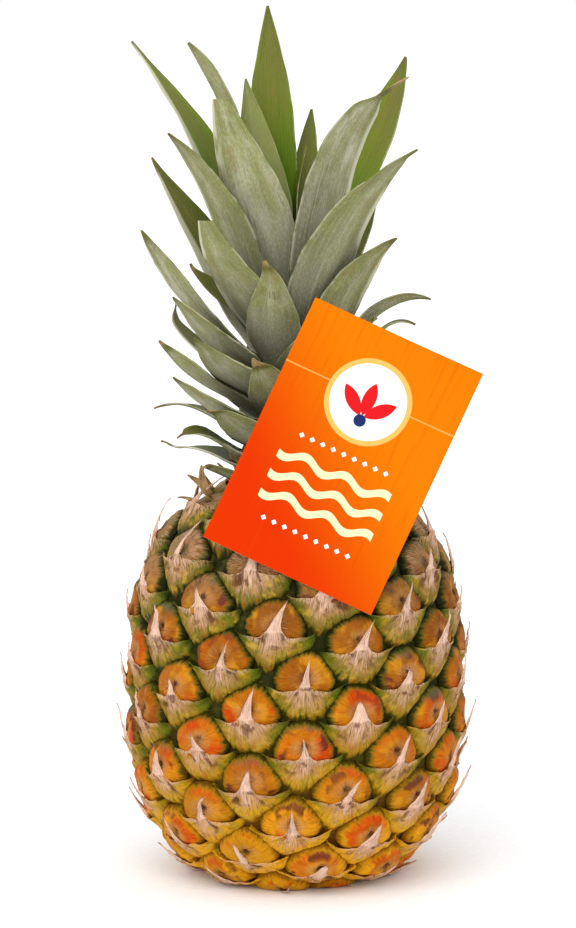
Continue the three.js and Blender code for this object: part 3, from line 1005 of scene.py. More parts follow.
class EyeField:
    """Where the eyes are, and how far each one's cell reaches towards its neighbours."""

    NEIGHBOURS = 9
    CENTRE_DROP = 4.2  # a cell's middle lies this far under its dome's

    def __init__(self, flank: Flank, spiral: EyeSpiral) -> None:
        """Winds the spiral up and down from eye number 0, then measures the cells."""
        self.flank = flank
        rows = []
        distance = spiral.first_rise
        number = 0
        while distance < flank.top + spiral.beyond:
            rise = spiral.cell_area / (math.tau * flank.radius(distance))
            rows.append(self.eye(spiral, number, distance, rise))
            distance += rise
            number += 1
        distance = spiral.first_rise
        number = -1
        while distance > -spiral.beyond:
            rise = spiral.cell_area / (math.tau * flank.radius(distance))
            distance -= rise
            rows.append(self.eye(spiral, number, distance, rise))
            number -= 1
        azimuth, distance = np.array(rows).T
        turn = azimuth[None, :] - azimuth[:, None]
        turn = (turn + math.pi) % math.tau - math.pi
        middle = (distance[None, :] + distance[:, None]) / 2
        across = turn * flank.radius(middle)
        up = distance[None, :] - distance[:, None]
        apart = np.hypot(across, up)
        nearest = np.argsort(apart, axis=1)[:, 1 : self.NEIGHBOURS + 1]
        apart = np.take_along_axis(apart, nearest, 1)
        self.toward_x = np.take_along_axis(across, nearest, 1) / apart
        self.toward_y = np.take_along_axis(up, nearest, 1) / apart
        self.half = apart / 2
        self.azimuth = azimuth
        self.distance = distance

    @staticmethod
    def eye(spiral: EyeSpiral, number: int, distance: float, rise: float) -> tuple[float, float]:
        """One eye's azimuth in radians and its distance up the skin."""
        slip = spiral.row_slip[(3 * (number + 1)) % spiral.rows]
        azimuth = math.radians(spiral.start_azimuth + spiral.turn * number + spiral.row_step * slip)
        return azimuth, distance + spiral.rows * rise * slip + spiral.skew * math.sin(azimuth)

    def high(self, eyes: np.ndarray) -> np.ndarray:
        """How high up the fruit each eye sits, from 0 to 1."""
        return np.clip(self.distance[eyes] / self.flank.top, 0, 1)[:, None]

    def chosen(self, low: float, high: float) -> np.ndarray:
        """The numbers of the eyes whose distance up the skin is from low to high."""
        return np.flatnonzero((self.distance >= low) & (self.distance < high))

    def reach(self, eyes: np.ndarray, angle: np.ndarray, outline: Outline) -> np.ndarray:
        """How far the cells reach from a point in each, in every direction.

        Args:
            eyes: The eyes' numbers.
            angle: Directions in radians, 0 to the right and + upwards.
            outline: What else bounds them.

        Returns:
            Millimetres, an array of eyes by directions.
        """
        x, y = self.toward_x[eyes], self.toward_y[eyes]
        half = self.half[eyes] + (outline.drop - self.CENTRE_DROP) * y - outline.inset
        facing = np.cos(angle) * x[..., None] + np.sin(angle) * y[..., None]
        power = outline.sharpness
        right, top = np.cos(angle), np.sin(angle)
        total = (np.maximum(0, facing / half[..., None]) ** power).sum(1)
        total += np.hypot(right / outline.half_width, top / outline.half_height) ** power
        total += np.maximum(0, -top / outline.depth) ** power
        return total ** (-1 / power)

    def place(self, eyes: np.ndarray, across: np.ndarray, up: np.ndarray, lift: np.ndarray) -> np.ndarray:
        """Places in the eyes' own charts, whose origins are the domes' middles."""
        distance = self.distance[eyes][:, None] + up
        azimuth = self.azimuth[eyes][:, None] + across / self.flank.radius(distance)
        return self.flank.place(azimuth, distance, lift)


@dataclass
class Core:
    """The fruit's body under the eyes, whose skin shows in the grooves, and its cut base."""

    flank: Flank
    sunk: float = 2.6  # the grooves' floor under the chart's skin
    segments: int = 96
    rings: int = 60
    crease: float = 50.0
    stalk_radius: float = 13.0
    cut_radius: float = 26.0
    cut_top: float = 2.0  # the cut's piece runs up to here, inside the body

    def build(self) -> None:
        """Spins the body and the stalk's cut."""
        distances = np.linspace(0, self.flank.top, self.rings)
        places = self.flank.place(np.zeros(self.rings), distances, np.full(self.rings, -self.sunk))
        outline = [(0.0, places[0][2])] + [(-y, z) for _, y, z in places] + [(0.0, places[-1][2])]
        dress(self.turned("fruit_core", outline), GrooveSkin().material(), Slot.RIND, "fruit")
        # The stalk's scar is a shallow dish with a groove round it; the cut is flat from there out.
        scar = [(0.0, 0.5), (4.0, 0.3), (self.stalk_radius, 0.2), (self.stalk_radius + 1, 0.9)]
        flat = [(self.stalk_radius + 5, 0.0), (self.cut_radius, 0.0), (self.cut_radius + 1, 0.6)]
        inside = [(self.cut_radius, self.cut_top), (0.0, self.cut_top)]
        dress(self.turned("cut_base", scar + flat + inside), CutBase().material(), Slot.RIND)

    def turned(self, name: str, outline: list[tuple[float, float]]) -> bpy.types.Object:
        """A closed piece from radii and heights that start and end on the axis."""
        profile = [(radius * MM, height * MM) for radius, height in outline]
        return to_piece(spun(name, profile, self.segments, 1e-7), self.crease)


@dataclass
class Domes:
    """The eyes' domes: rounded, fluted at the rim, with the dried flower's pit in the middle."""

    field: EyeField
    segments: int = 56
    # Where the rings of vertices lie, closer together towards the rim.
    rings: tuple[float, ...] = (
        0.0, 0.06, 0.12, 0.19, 0.27, 0.36, 0.45, 0.54, 0.63,
        0.71, 0.78, 0.84, 0.89, 0.93, 0.96, 0.985, 1.0,
    )
    outline: Outline = Outline(
        drop=2.6,
        inset=-0.9,
        half_width=12.9,
        half_height=11.9,
        depth=6.5,
        sharpness=5.5,
    )
    rise: float = 4.5  # from the rim to the crown of the dome
    flatter: float = 2.2  # how much less it rises at the fruit's shoulder
    foot: float = -2.0  # the rim's height over the chart's skin
    back: float = -4.5
    ragged: float = 0.035  # how uneven the rim is, as a share of its reach
    dish_width: float = 0.34  # of the hollow round the pit, as a share of the reach
    pit_width: float = 0.12
    sepal_depth: float = 0.4  # of the creases where the flower's sepals met

    def build(self, name: str, eyes: np.ndarray, material: bpy.types.Material) -> None:
        """Makes the domes of some eyes as one piece.

        Args:
            name: The piece's name.
            eyes: The eyes' numbers.
            material: What it is made of.
        """
        template = button_template(self.segments, self.rings)
        local = template_places(template)
        share = np.hypot(local[:, 0], local[:, 1])
        angle = np.arctan2(local[:, 1], local[:, 0])
        every = len(self.field.azimuth)
        draw = np.random.default_rng(7)
        draws = np.moveaxis(draw.random((every, 8))[eyes][:, :, None], 1, 0)
        phase, plump, dished, pitted, askew, seed, tone, ageing = draws
        spokes = np.round(angle / math.tau * self.segments).astype(int) % self.segments
        teeth = draw.random((every, self.segments))[eyes][:, spokes] - 0.5
        reach = self.field.reach(eyes, angle, self.outline)
        reach *= 1 + self.ragged * teeth * smooth(share, 0.7, 1.0)
        broad_lobes = 0.02 * np.cos(5 * angle + math.tau * phase)
        reach *= 1 + broad_lobes + 0.012 * np.cos(9 * angle - math.tau * phase)
        across = share * np.cos(angle) * reach
        up = share * np.sin(angle) * reach - self.outline.drop
        crown = self.rise + 0.6 * (plump - 0.5) - self.flatter * smooth(self.field.high(eyes), 0.75, 1.0)
        lift = self.foot + crown * (1 - share**2.5) ** 0.55
        middle = np.hypot(0.7 * (local[:, 0] - PIT[0]), local[:, 1] - PIT[1])
        dish = (0.3 + 0.7 * dished) * np.exp(-((middle / self.dish_width) ** 2))
        pit = (0.4 + 1.1 * pitted) * np.exp(-((middle / self.pit_width) ** 2))
        # One crease runs straight up from the middle and one down to the left.
        crests = np.maximum(0, np.cos(1.5 * (angle - math.pi / 2) + 0.6 * (askew - 0.5)))
        sepals = self.sepal_depth * crests**8 * np.exp(-(((share - 0.34) / 0.22) ** 2))
        lift = lift - dish - pit - sepals
        places = self.field.place(eyes, across, up, lift)
        lumps = 0.3 * ripple(places, 8.0, 3) + 0.14 * ripple(places, 3.0, 4)
        lift = lift + smooth(share, 1.0, 0.85) * lumps
        lift = np.where(local[:, 2] < 0, self.back, lift)
        places = self.field.place(eyes, across, up, lift)
        marks = {
            "eye_place": np.stack([local[:, 0], local[:, 1], np.zeros_like(share)], -1)[None],
            "eye_traits": np.concatenate([40 * seed, tone, ageing], 1)[:, None],
        }
        dress(stamp(name, template, places, marks), material, Slot.RIND)


@dataclass
class Bracts:
    """The bracts: each is the lower half of an eye, with a dry lip and a papery tip."""

    field: EyeField
    columns: int = 44
    rows: int = 16
    tip_share: float = 0.3  # the share of the columns that end on the tip
    outline: Outline = Outline(drop=4.2, inset=-2.2, half_width=15.4, half_height=20.0, sharpness=14.0)
    lip_drop: float = 5.7  # the lip's middle under the dome's
    dip: float = 0.75  # how far the lip sags on each side of the tip
    foot: float = -3.0  # the foot's height over the chart's skin
    lip: float = 2.9  # the lip's, in the middle
    tip_length: tuple[float, float] = (5.5, 12.5)
    tip_half_width: tuple[float, float] = (1.1, 2.9)
    tip_lean: tuple[float, float] = (-14.0, 24.0)  # degrees, + to the right
    tip_away: tuple[float, float] = (0.9, 3.2)  # how much farther out its end stands than the lip
    hook: float = 3.2  # how far aside the end of a hooked tip bends
    foot_thickness: float = 3.0
    lip_thickness: float = 0.55
    tip_thickness: float = 0.35

    def build(self, name: str, eyes: np.ndarray, material: bpy.types.Material) -> None:
        """Makes the bracts of some eyes as one piece.

        Args:
            name: The piece's name.
            eyes: The eyes' numbers.
            material: What it is made of.
        """
        template = slab_template(self.columns, self.rows)
        local = template_places(template)
        u, v = local[:, 0], (local[:, 1] + 1) / 2
        draw = np.random.default_rng(19)
        draws = np.moveaxis(draw.random((len(self.field.azimuth), 12))[eyes][:, :, None], 1, 0)
        long, wide, aside, sunken, seed, loose, leaning, hooking, ageing, sag_left, sag_right, off = draws
        old = smooth(self.field.high(eyes), 0.68, 1.0)
        length = mix(*self.tip_length, long) + 6 * old
        half_base = mix(*self.tip_half_width, wide)
        power = mix(0.6, 1.9, ageing)  # under 1 the tip bulges, over 1 it hollows
        root_x = 2.0 * (aside - 0.5)
        side = np.abs(u)
        foot_x, foot_y, end_x = self.ends(eyes, u)
        on_tip = side < self.tip_share
        wing = np.clip((side - self.tip_share) / (1 - self.tip_share), 0, 1)
        tip = np.clip(1 - side / self.tip_share, 0, 1)
        root_y = -self.lip_drop + 0.8
        tip_x = half_base * (1 - tip) ** power * (1 + 0.3 * np.exp(-tip / 0.08)) * np.sign(u)
        wing_x = mix(1.3 * half_base * np.sign(u), end_x - root_x, wing)
        sag = self.dip * (0.3 + 1.4 * np.where(u < 0, sag_left, sag_right))
        lip_y = mix(-self.lip_drop, -self.outline.drop - 0.5, wing**2) - sag * np.sin(math.pi * wing**0.8)
        frills = 0.2 * np.cos(11 * wing + math.tau * seed) * smooth(wing, 0, 0.2)
        lip_y = lip_y + 0.8 * np.exp(-wing / 0.05) + frills
        x = mix(foot_x, root_x + np.where(on_tip, tip_x, wing_x), v)
        y = mix(foot_y, np.where(on_tip, root_y + length * tip, lip_y), v)
        top_y = np.where(on_tip, root_y, lip_y)
        body = np.clip((y - foot_y) / (top_y - foot_y), 0, 1)
        along = np.where(on_tip, np.clip((y - root_y) / length, 0, 1), 0.0)
        middle = np.abs(x - root_x * body)
        lift = self.skin(side, body, middle, sunken)
        fan = 0.2 * np.cos(13 * u + math.tau * seed) + 0.12 * np.cos(31 * u + math.tau * loose)
        lift = lift + fan * smooth(body, 0.1, 0.4) * smooth(body, 1.05, 0.8)
        lean = np.radians(mix(*self.tip_lean, leaning))
        hook = np.where(hooking > 0.66, self.hook, 0.0) * np.sign(sunken - 0.35)
        end = smooth(along, 0.6, 1.0)
        x = x + length * np.tan(lean) * along**1.4 + hook * end
        y = y - 0.3 * np.abs(hook) * end
        away = mix(*self.tip_away, off**2) + 3.5 * old * loose
        keeled = 0.25 * (middle / half_base) ** 2 * smooth(along, 0.0, 0.1) * (1 - along)
        lift = lift + away * along - keeled
        places = self.field.place(eyes, x, y, lift)
        curl = 0.35 * ripple(places, 5.0, 9) * smooth(v, 0.8, 1.0) * smooth(side, 0.3, 0.5)
        lift = lift + 0.2 * ripple(places, 3.6, 8) * smooth(body, 0.1, 0.5) + curl
        fleshy = mix(self.foot_thickness, self.lip_thickness, smooth(body, 0.0, 0.8))
        thick = np.where(along > 0, self.tip_thickness, fleshy)
        lift = np.where(outer_face(local), lift, lift - thick)
        place_mark = np.stack([np.broadcast_to(u, body.shape), body, along], -1)
        traits = [np.broadcast_to(item, body.shape) for item in (seed, ageing, v)]
        marks = {"bract_place": place_mark, "bract_traits": np.stack(traits, -1)}
        places = self.field.place(eyes, x, y, lift)
        dress(stamp(name, template, places, marks), material, Slot.RIND)

    def ends(self, eyes: np.ndarray, u: np.ndarray) -> tuple[np.ndarray, np.ndarray, np.ndarray]:
        """Where the bracts' lower edges run.

        Args:
            eyes: The eyes' numbers.
            u: The columns, from -1 to 1.

        Returns:
            The lower edge's x and y for each column, and the x of the wing's end on its side.
        """
        below = math.pi * (1.5 + 0.5 * u)
        reach = self.field.reach(eyes, below, self.outline)
        ends = self.field.reach(eyes, np.array([math.pi, 0.0]), self.outline)
        end_x = np.where(u < 0, -ends[:, :1], ends[:, 1:])
        return reach * np.cos(below), reach * np.sin(below) - self.outline.drop, end_x

    def skin(
        self,
        side: np.ndarray,
        body: np.ndarray,
        middle: np.ndarray,
        sunken: np.ndarray,
    ) -> np.ndarray:
        """The height of a bract's outer face.

        Args:
            side: From 0 in the middle to 1 at both ends.
            body: From 0 at the foot to 1 at the lip.
            middle: The distance from the middle line, in millimetres.
            sunken: How deep the hollows beside the keel are, from 0 to 1.

        Returns:
            Millimetres over the chart's skin.
        """
        rise = 0.35 * smooth(body, 0.0, 0.3) + 0.65 * body**1.2
        lift = self.foot + (self.lip - self.foot) * rise * (1 - 0.5 * side**3)
        keel = 0.6 * np.exp(-((middle / 1.5) ** 2)) * smooth(body, 0.25, 0.9)
        hollow = np.exp(-(((middle - 3.6) / 1.5) ** 2)) * np.exp(-(((body - 0.7) / 0.2) ** 2))
        return lift + keel - (0.2 + 1.2 * sunken) * hollow


@dataclass
class NeckScales:
    """Dried scale leaves that stand round the neck between the fruit and its crown."""

    count: int = 46
    columns: int = 6
    rows: int = 14
    lowest: float = 134.0
    highest: float = 146.0
    turn: float = 137.5  # degrees from one scale to the next
    length: tuple[float, float] = (7.0, 15.0)
    half_width: tuple[float, float] = (1.5, 3.0)
    thickness: float = 0.4
    cup: float = 0.28  # how far the margins curl in, as a share of half the width
    lean: tuple[float, float] = (44.0, 14.0)  # degrees out of upright, for the lowest and the highest
    bend: tuple[float, float] = (-60.0, 50.0)  # degrees from root to tip, + outward

    def build(self, form: FruitForm) -> None:
        """Makes the scales as one piece.

        Args:
            form: The fruit's outline.
        """
        template = slab_template(self.columns, self.rows)
        local = template_places(template)
        side, share = local[:, 0], (local[:, 1] + 1) / 2
        face = np.where(outer_face(local), 0.5, -0.5)
        draw = np.random.default_rng(31)
        number = np.arange(self.count)[:, None]
        draws = np.moveaxis(draw.random((self.count, 8))[:, :, None], 1, 0)
        stray, raised, long, leaning, bending, wide, twisting, aside = draws
        azimuth = np.radians(self.turn * number + 20 * (stray - 0.5))
        height = mix(self.lowest, self.highest, (number + raised) / self.count)
        over = np.maximum(0, height - form.neck_height)
        root = form.radius(np.minimum(height, form.neck_height)) - 1.5 - 0.6 * over
        length = mix(*self.length, long)
        upper = (height - self.lowest) / (self.highest - self.lowest)
        lean = np.radians(mix(*self.lean, upper) + 24 * (leaning - 0.5))
        bend = np.radians(mix(*self.bend, bending))
        angle = lean + bend * share
        out = length * share * np.sin(lean + bend * share / 2)
        up = length * share * np.cos(lean + bend * share / 2)
        half = mix(*self.half_width, wide) * (1 - share) ** 0.6 * smooth(share, -0.5, 0.15)
        twist = (twisting - 0.5) * 3.4 * smooth(share, -0.1, 0.5)
        off = self.thickness * face - self.cup * half * side**2
        across = side * half * np.cos(twist) + 9 * (aside - 0.5) * share**2
        outward = root + out + off * np.cos(angle) + side * half * np.sin(twist)
        upward = height + up - off * np.sin(angle)
        x = outward * np.sin(azimuth) + across * np.cos(azimuth)
        y = -outward * np.cos(azimuth) + across * np.sin(azimuth)
        places = np.stack([x, y, np.broadcast_to(upward, outward.shape)], -1)
        own = np.stack([side, share, face + 0.5], -1)[None]
        mark = own + 3 * stray[..., None] * np.array([1.0, 0.0, 0.0])
        piece = stamp("neck_scales", template, places, {"leaf_place": mark})
        dress(piece, PaperyScale().material(), Slot.OUTER_LEAF)


# ---------------------------------------------------------------- the crown
@dataclass(frozen=True)
class CrownForm:
    """How the crown's stem and leaves are set out, the CAD part's own."""

    lean: float = 4.3  # degrees to the left
    stem_bottom_radius: float = 15.0
    stem_top_radius: float = 2.4
    stem_length: float = 74.0
    first_root: float = 1.9  # the lowest root's height over the stem's foot
    root_step: float = 1.42
    root_gap: float = 0.5  # between the stem and each root
    base_thickness: float = 0.056  # as a share of the leaf's width
    tip_thickness: float = 0.6
    edge_thinning: float = 0.45  # how much thinner the margins are, as a share
    # Pairs are for the lowest leaf and for the innermost.
    base_width: tuple[float, float] = (1.0, 0.36)  # as shares of the leaf's width
    widest_at: tuple[float, float] = (0.1, 0.38)  # as shares of its length
    taper_power: tuple[float, float] = (1.3, 1.9)
    tip_width: float = 0.04  # as a share of the leaf's width
    channel_growth: float = 1.5  # the open channel's radius, in leaf widths
    open_at: float = 0.3  # the share of its length where the channel is open
    root_handle: float = 0.42  # how far the root's and the tip's directions carry, as shares of the span
    tip_handle: float = 0.34


@dataclass(frozen=True)
class LeafRow:
    """One leaf: the azimuths of its root and tip, how far its tip stands out from the crown's axis,
    the tip's height over the fruit's base, its width, its lean out of upright at both ends, its twist.
    """

    root_azimuth: float
    tip_azimuth: float
    reach: float
    tip_height: float
    width: float
    root_lean: float
    tip_lean: float
    twist: float


# From the lowest leaf to the innermost.
LEAVES = [
    LeafRow(*row)
    for row in (
        (-62, -60, 39, 154, 18, 72, 82, 20),
        (98, 98, 42, 163, 22, 65, 70, -10),
        (-118, -110, 51, 156, 23, 62, 100, 15),
        (12, 14, 35, 163, 23, 60, 60, 0),
        (150, 152, 48, 168, 23, 64, 75, 12),
        (-74, -72, 43, 163, 23, 58, 125, -15),
        (62, 60, 40, 171, 24, 60, 60, 10),
        (-157, -160, 50, 171, 23, 60, 78, 0),
        (-32, -40, 41, 176, 24, 52, 44, 12),
        (117, 120, 50, 176, 22, 60, 80, -12),
        (-104, -100, 50, 172, 22, 54, 110, 10),
        (34, 32, 37, 184, 23, 50, 45, 0),
        (172, 170, 50, 186, 22, 58, 72, 10),
        (-50, -56, 48, 187, 25, 66, 44, -8),
        (78, 88, 47, 196, 21, 40, 122, 6),
        (-138, -140, 52, 192, 22, 56, 72, 0),
        (-8, -14, 38, 193, 23, 40, 20, 8),
        (136, 138, 51, 196, 22, 54, 76, -10),
        (-80, -86, 44.5, 198, 21, 58, 30, 24),
        (52, 52, 40, 202, 22, 45, 46, 0),
        (-170, -168, 50, 213, 21, 50, 66, 8),
        (-42, -48, 41.5, 200, 28, 60, 34, 0),
        (92, 98, 54, 204, 20, 34, 116, -38),
        (-116, -108, 44, 209, 19, 56, 16, 12),
        (20, 22, 34, 204, 21, 36, 34, 0),
        (156, 158, 50, 225, 21, 44, 62, 10),
        (-62, -64, 42, 214, 25, 56, 38, 8),
        (57, 74, 44, 228, 26, 38, 64, -18),
        (-154, -112, 46.5, 262, 21, 40, 28, 24),
        (-18, -6, 30, 225, 21, 24, 18, 0),
        (126, 124, 45, 240, 20, 34, 40, 8),
        (-86, -86, 49, 237, 19, 62, 34, 44),
        (41, 54, 63, 259.5, 28, 25, 66, 0),
        (178, 176, 42, 250, 20, 34, 40, 0),
        (-38, -43, 36, 240, 25, 25, 14, -6),
        (61, 74, 52.5, 285, 30, 18, 66, -16),
        (-64, -74, 37, 271, 27, 17, 42, 14),
        (-146, -96, 31, 224, 10, 46, 20, 30),
        (142, 120, 59, 291, 21, 25, 22, 8),
        (-132, -115, 52, 304, 22, 15, 38, 16),
        (124, 137, 23, 275, 20, 11, 14, 0),
        (176, 184, 13, 232, 8, 11, 8, 0),
        (-19, -44, 23.6, 282, 25, 5, 16, -6),
        (78, 91, 12.5, 263, 13, 9, 20, 32),
        (-116, -84, 26.5, 302, 22, 17, 36, 60),
        (70, 80, 6, 222, 6, 4, 6, 0),
        (186, 167, 12, 313, 17, 3, 8, 2),
        (0, -62, 7.8, 288, 16, 0, 4, 0),
    )
]


class Margin(Enum):
    """Which margin of a leaf has rolled over and shows its pale side."""

    LEFT = -1
    NONE = 0
    RIGHT = 1


@dataclass(frozen=True)
class LeafLook:
    """How a leaf has aged."""

    dry: float = 0.03  # how far down it has dried, as a share of its length; under 0 for not at all
    rim: Margin = Margin.NONE
    fresh: float = 0.0  # how far the scurf has worn off
    silver: float = 0.0  # how thick its scurf has stayed
    aside: float = 0.0  # how far its tip has curled to its side and outwards, in millimetres
    outward: float = 0.0
    fuller: float = 1.0  # how much wider its soft margins spread than the CAD's
    thread: float = 0.0  # how much of its tip has shrivelled to a thread, as a share of its length
    tip: float = CrownForm.tip_width  # more where the dry tip has broken off


# The leaves, by number, that have aged in a way of their own.
LEAF_LOOKS = {
    1: LeafLook(dry=0.2, fresh=0.2, aside=3, outward=2),
    3: LeafLook(dry=0.12, rim=Margin.RIGHT, outward=-3, thread=0.1),
    6: LeafLook(dry=0.12, fresh=0.1, fuller=1.2, thread=0.1),
    9: LeafLook(dry=0.1, fresh=0.2, aside=-2, outward=2),
    11: LeafLook(dry=0.12, fuller=1.2, thread=0.08),
    14: LeafLook(dry=0.06, rim=Margin.LEFT, aside=1, outward=1, fuller=1.15),
    15: LeafLook(dry=0.04, fresh=0.4, fuller=1.12),
    17: LeafLook(dry=0.16, fresh=0.2, aside=-2, outward=3),
    19: LeafLook(dry=0.1, rim=Margin.LEFT, fresh=0.1, aside=2, outward=2, fuller=1.3),
    22: LeafLook(fresh=0.1, outward=1),
    23: LeafLook(dry=0.02, fresh=0.1, silver=0.4, fuller=0.72),
    24: LeafLook(dry=0.08, rim=Margin.RIGHT, fresh=0.3, aside=-2, outward=-3, fuller=1.25, thread=0.07),
    27: LeafLook(dry=0.02, rim=Margin.LEFT, fresh=0.1, outward=0.5),
    28: LeafLook(dry=0.04, rim=Margin.RIGHT, fresh=0.45),
    29: LeafLook(dry=0.05, rim=Margin.RIGHT, fresh=0.2),
    30: LeafLook(dry=0.08, fresh=0.15, aside=-1.5, outward=1),
    32: LeafLook(dry=0.05, rim=Margin.LEFT, aside=3, outward=2),
    33: LeafLook(dry=0.04, rim=Margin.RIGHT, fresh=0.25, silver=0.3, thread=0.06),
    35: LeafLook(dry=-0.06, rim=Margin.LEFT, fresh=0.3, tip=0.3),
    36: LeafLook(
        dry=0.12,
        rim=Margin.RIGHT,
        fresh=0.03,
        silver=0.65,
        aside=-1,
        outward=1,
        fuller=1.08,
        thread=0.15,
    ),
    37: LeafLook(dry=0.02, rim=Margin.LEFT, fresh=0.2),
    38: LeafLook(dry=0.1, outward=1, fuller=1.3),
    39: LeafLook(dry=0.02, fresh=0.7, fuller=1.3),
    40: LeafLook(dry=0.0, rim=Margin.RIGHT),
    41: LeafLook(dry=0.02, fresh=0.3, fuller=1.2),
    43: LeafLook(dry=-0.06, rim=Margin.LEFT, fresh=0.15, silver=0.6, tip=0.24),
    44: LeafLook(dry=0.0, fresh=0.5),
    45: LeafLook(dry=0.0, rim=Margin.LEFT, silver=0.8, fuller=1.35),
    47: LeafLook(dry=-0.02, fuller=1.16),
    48: LeafLook(dry=-0.02, fresh=0.9),
}


@dataclass
class Crown:
    """The leafy crown, which leans to the left over the fruit."""

    form: CrownForm
    seat: float  # the height of the stem's foot
    columns: int = 14
    rows: int = 44
    first_inner: int = 41  # leaves from this number on are the fresh inner ones
    first_green: int = 39  # leaves from this number on have a fresh green inner face
    thread_width: float = 0.38  # a shrivelled tip's, as a share of a sound one's

    def build(self) -> None:
        """Makes every leaf and dresses the stem."""
        outer = ScurfyLeaf("silvery_outer_leaf", "#787C3A", "#B4AF96", "#5C6826", "#3A441A").material()
        inner = ScurfyLeaf("fresh_inner_leaf", "#7C8240", "#BCB89E", "#707C20", "#4C780A").material()
        template = slab_template(self.columns, self.rows)
        for index in range(len(LEAVES)):
            number = index + 1
            slot = Slot.INNER_LEAF if number >= self.first_inner else Slot.OUTER_LEAF
            skin = inner if number >= self.first_green else outer
            dress(self.leaf(index, template), skin, slot, f"leaf_{number:02d}")
        dress(bpy.data.objects["crown_stem"], PaleStem().material(), Slot.STEM)

    def stem_radius(self, height: float) -> float:
        """The stem's radius at a height over its foot."""
        form = self.form
        return mix(form.stem_bottom_radius, form.stem_top_radius, height / form.stem_length)

    @staticmethod
    def point(azimuth: float, reach: float, height: float) -> np.ndarray:
        """A point on an azimuth in degrees, a distance out from the crown's axis and a height."""
        angle = math.radians(azimuth)
        return np.array([reach * math.sin(angle), -reach * math.cos(angle), height])

    def heading(self, azimuth: float, lean: float) -> np.ndarray:
        """The direction that leans out of upright towards an azimuth."""
        return self.point(azimuth, math.sin(math.radians(lean)), math.cos(math.radians(lean)))

    def spine(self, index: int) -> list[np.ndarray]:
        """The four handles of a leaf's middle line, from its root to its tip."""
        form, row = self.form, LEAVES[index]
        root_height = form.first_root + form.root_step * index
        root_reach = self.stem_radius(root_height) + form.root_gap + form.base_thickness * row.width / 2
        root = self.point(row.root_azimuth, root_reach, root_height)
        tip = self.point(row.tip_azimuth, row.reach, row.tip_height - self.seat)
        span = np.linalg.norm(tip - root)
        out = self.heading(row.root_azimuth, row.root_lean) * form.root_handle * span
        away = self.heading(row.tip_azimuth, row.tip_lean) * form.tip_handle * span
        return [root, root + out, tip - away, tip]

    def half_width(self, index: int, share: np.ndarray) -> np.ndarray:
        """Half a leaf's width at shares of its length."""
        form = self.form
        inward = index / (len(LEAVES) - 1)
        widest = mix(*form.widest_at, inward)
        swell = mix(mix(*form.base_width, inward), 1, smooth(share, 0, widest))
        beyond = np.maximum(0, (share - widest) / (1 - widest))
        taper = 1 - beyond ** mix(*form.taper_power, inward)
        nicks = 1 + 0.025 * np.cos(31 * share + index) * np.cos(11 * share + 2 * index)
        look = self.look(index)
        half = LEAVES[index].width / 2 * mix(1, look.fuller, smooth(share, 0.35, 0.75)) * nicks
        if look.thread:
            shrivelled = smooth(share + look.thread, 0.95, 1.02)
            half = half * mix(1, self.thread_width, shrivelled)
        return half * swell * mix(look.tip, 1, taper)

    @staticmethod
    def look(index: int) -> LeafLook:
        """How the leaf at a place in the list has aged."""
        return LEAF_LOOKS.get(index + 1, LeafLook())

    def middle_line(self, index: int, share: np.ndarray) -> tuple[np.ndarray, np.ndarray, np.ndarray]:
        """A leaf's middle line and its directions there.

        Args:
            index: The leaf's place in the list.
            share: Shares of its length.

        Returns:
            The places, and the directions across the leaf and out of its outer face.
        """
        root, leaving, arriving, tip = self.spine(index)
        after = share[:, None]
        before = 1 - after
        place = root * before**3 + 3 * leaving * before**2 * after
        place = place + 3 * arriving * before * after**2 + tip * after**3
        tangent = 3 * (leaving - root) * before**2 + 6 * (arriving - leaving) * before * after
        tangent = tangent + 3 * (tip - arriving) * after**2
        tangent /= np.linalg.norm(tangent, axis=1)[:, None]
        angle = math.radians(LEAVES[index].root_azimuth)
        level = np.array([math.cos(angle), math.sin(angle), 0.0])
        across = level - (tangent @ level)[:, None] * tangent
        across /= np.linalg.norm(across, axis=1)[:, None]
        turn = math.radians(LEAVES[index].twist) * after
        across = across * np.cos(turn) + np.cross(tangent, across) * np.sin(turn)
        return place, across, np.cross(across, tangent)

    def leaf(self, index: int, template: bpy.types.Mesh) -> bpy.types.Object:
        """Bends a slab along the leaf's spine and hollows it into a channel.

        Args:
            index: The leaf's place in the list.
            template: The slab.

        Returns:
            The leaf's piece.
        """
        form, row = self.form, LEAVES[index]
        local = template_places(template)
        side, share = local[:, 0], (local[:, 1] + 1) / 2
        face = np.where(outer_face(local), 0.5, -0.5)
        place, across, outward = self.middle_line(index, share)
        opening = np.minimum(1, share / form.open_at)
        root_reach = self.stem_radius(form.first_root + form.root_step * index)
        channel = mix(root_reach + 2, form.channel_growth * row.width, opening)
        bend = side * self.half_width(index, share) / channel
        thickness = mix(form.base_thickness * row.width, form.tip_thickness, share)
        thickness = thickness * (1 - form.edge_thinning * side**2)
        radius = channel + face * thickness
        place = place + across * (radius * np.sin(bend))[:, None]
        place = place + outward * (radius * np.cos(bend) - channel)[:, None]
        wave = 0.35 * ripple(place + 50 * index, 26.0, 5) * smooth(np.abs(side), 0.4, 1.0)
        place = place + outward * (wave * smooth(share, 0.05, 0.3))[:, None]
        look = self.look(index)
        curl = smooth(share, 0.78, 1.0)[:, None] ** 2
        place = place + curl * (across * look.aside + outward * look.outward)
        lean = Matrix.Rotation(-math.radians(form.lean), 3, "Y")
        turned = place @ np.array(lean).T + np.array([0.0, 0.0, self.seat])
        seed = np.random.default_rng(100 + index).random()
        marks = {
            "leaf_place": np.stack([side, share, face + 0.5], -1)[None],
            "leaf_traits": np.array([seed, look.dry, look.rim.value])[None, None],
            "leaf_tone": np.array([look.fresh, look.silver, 0.0])[None, None],
        }
        return stamp(f"crown_leaf_{index + 1:02d}", template, turned[None], marks, 50.0)


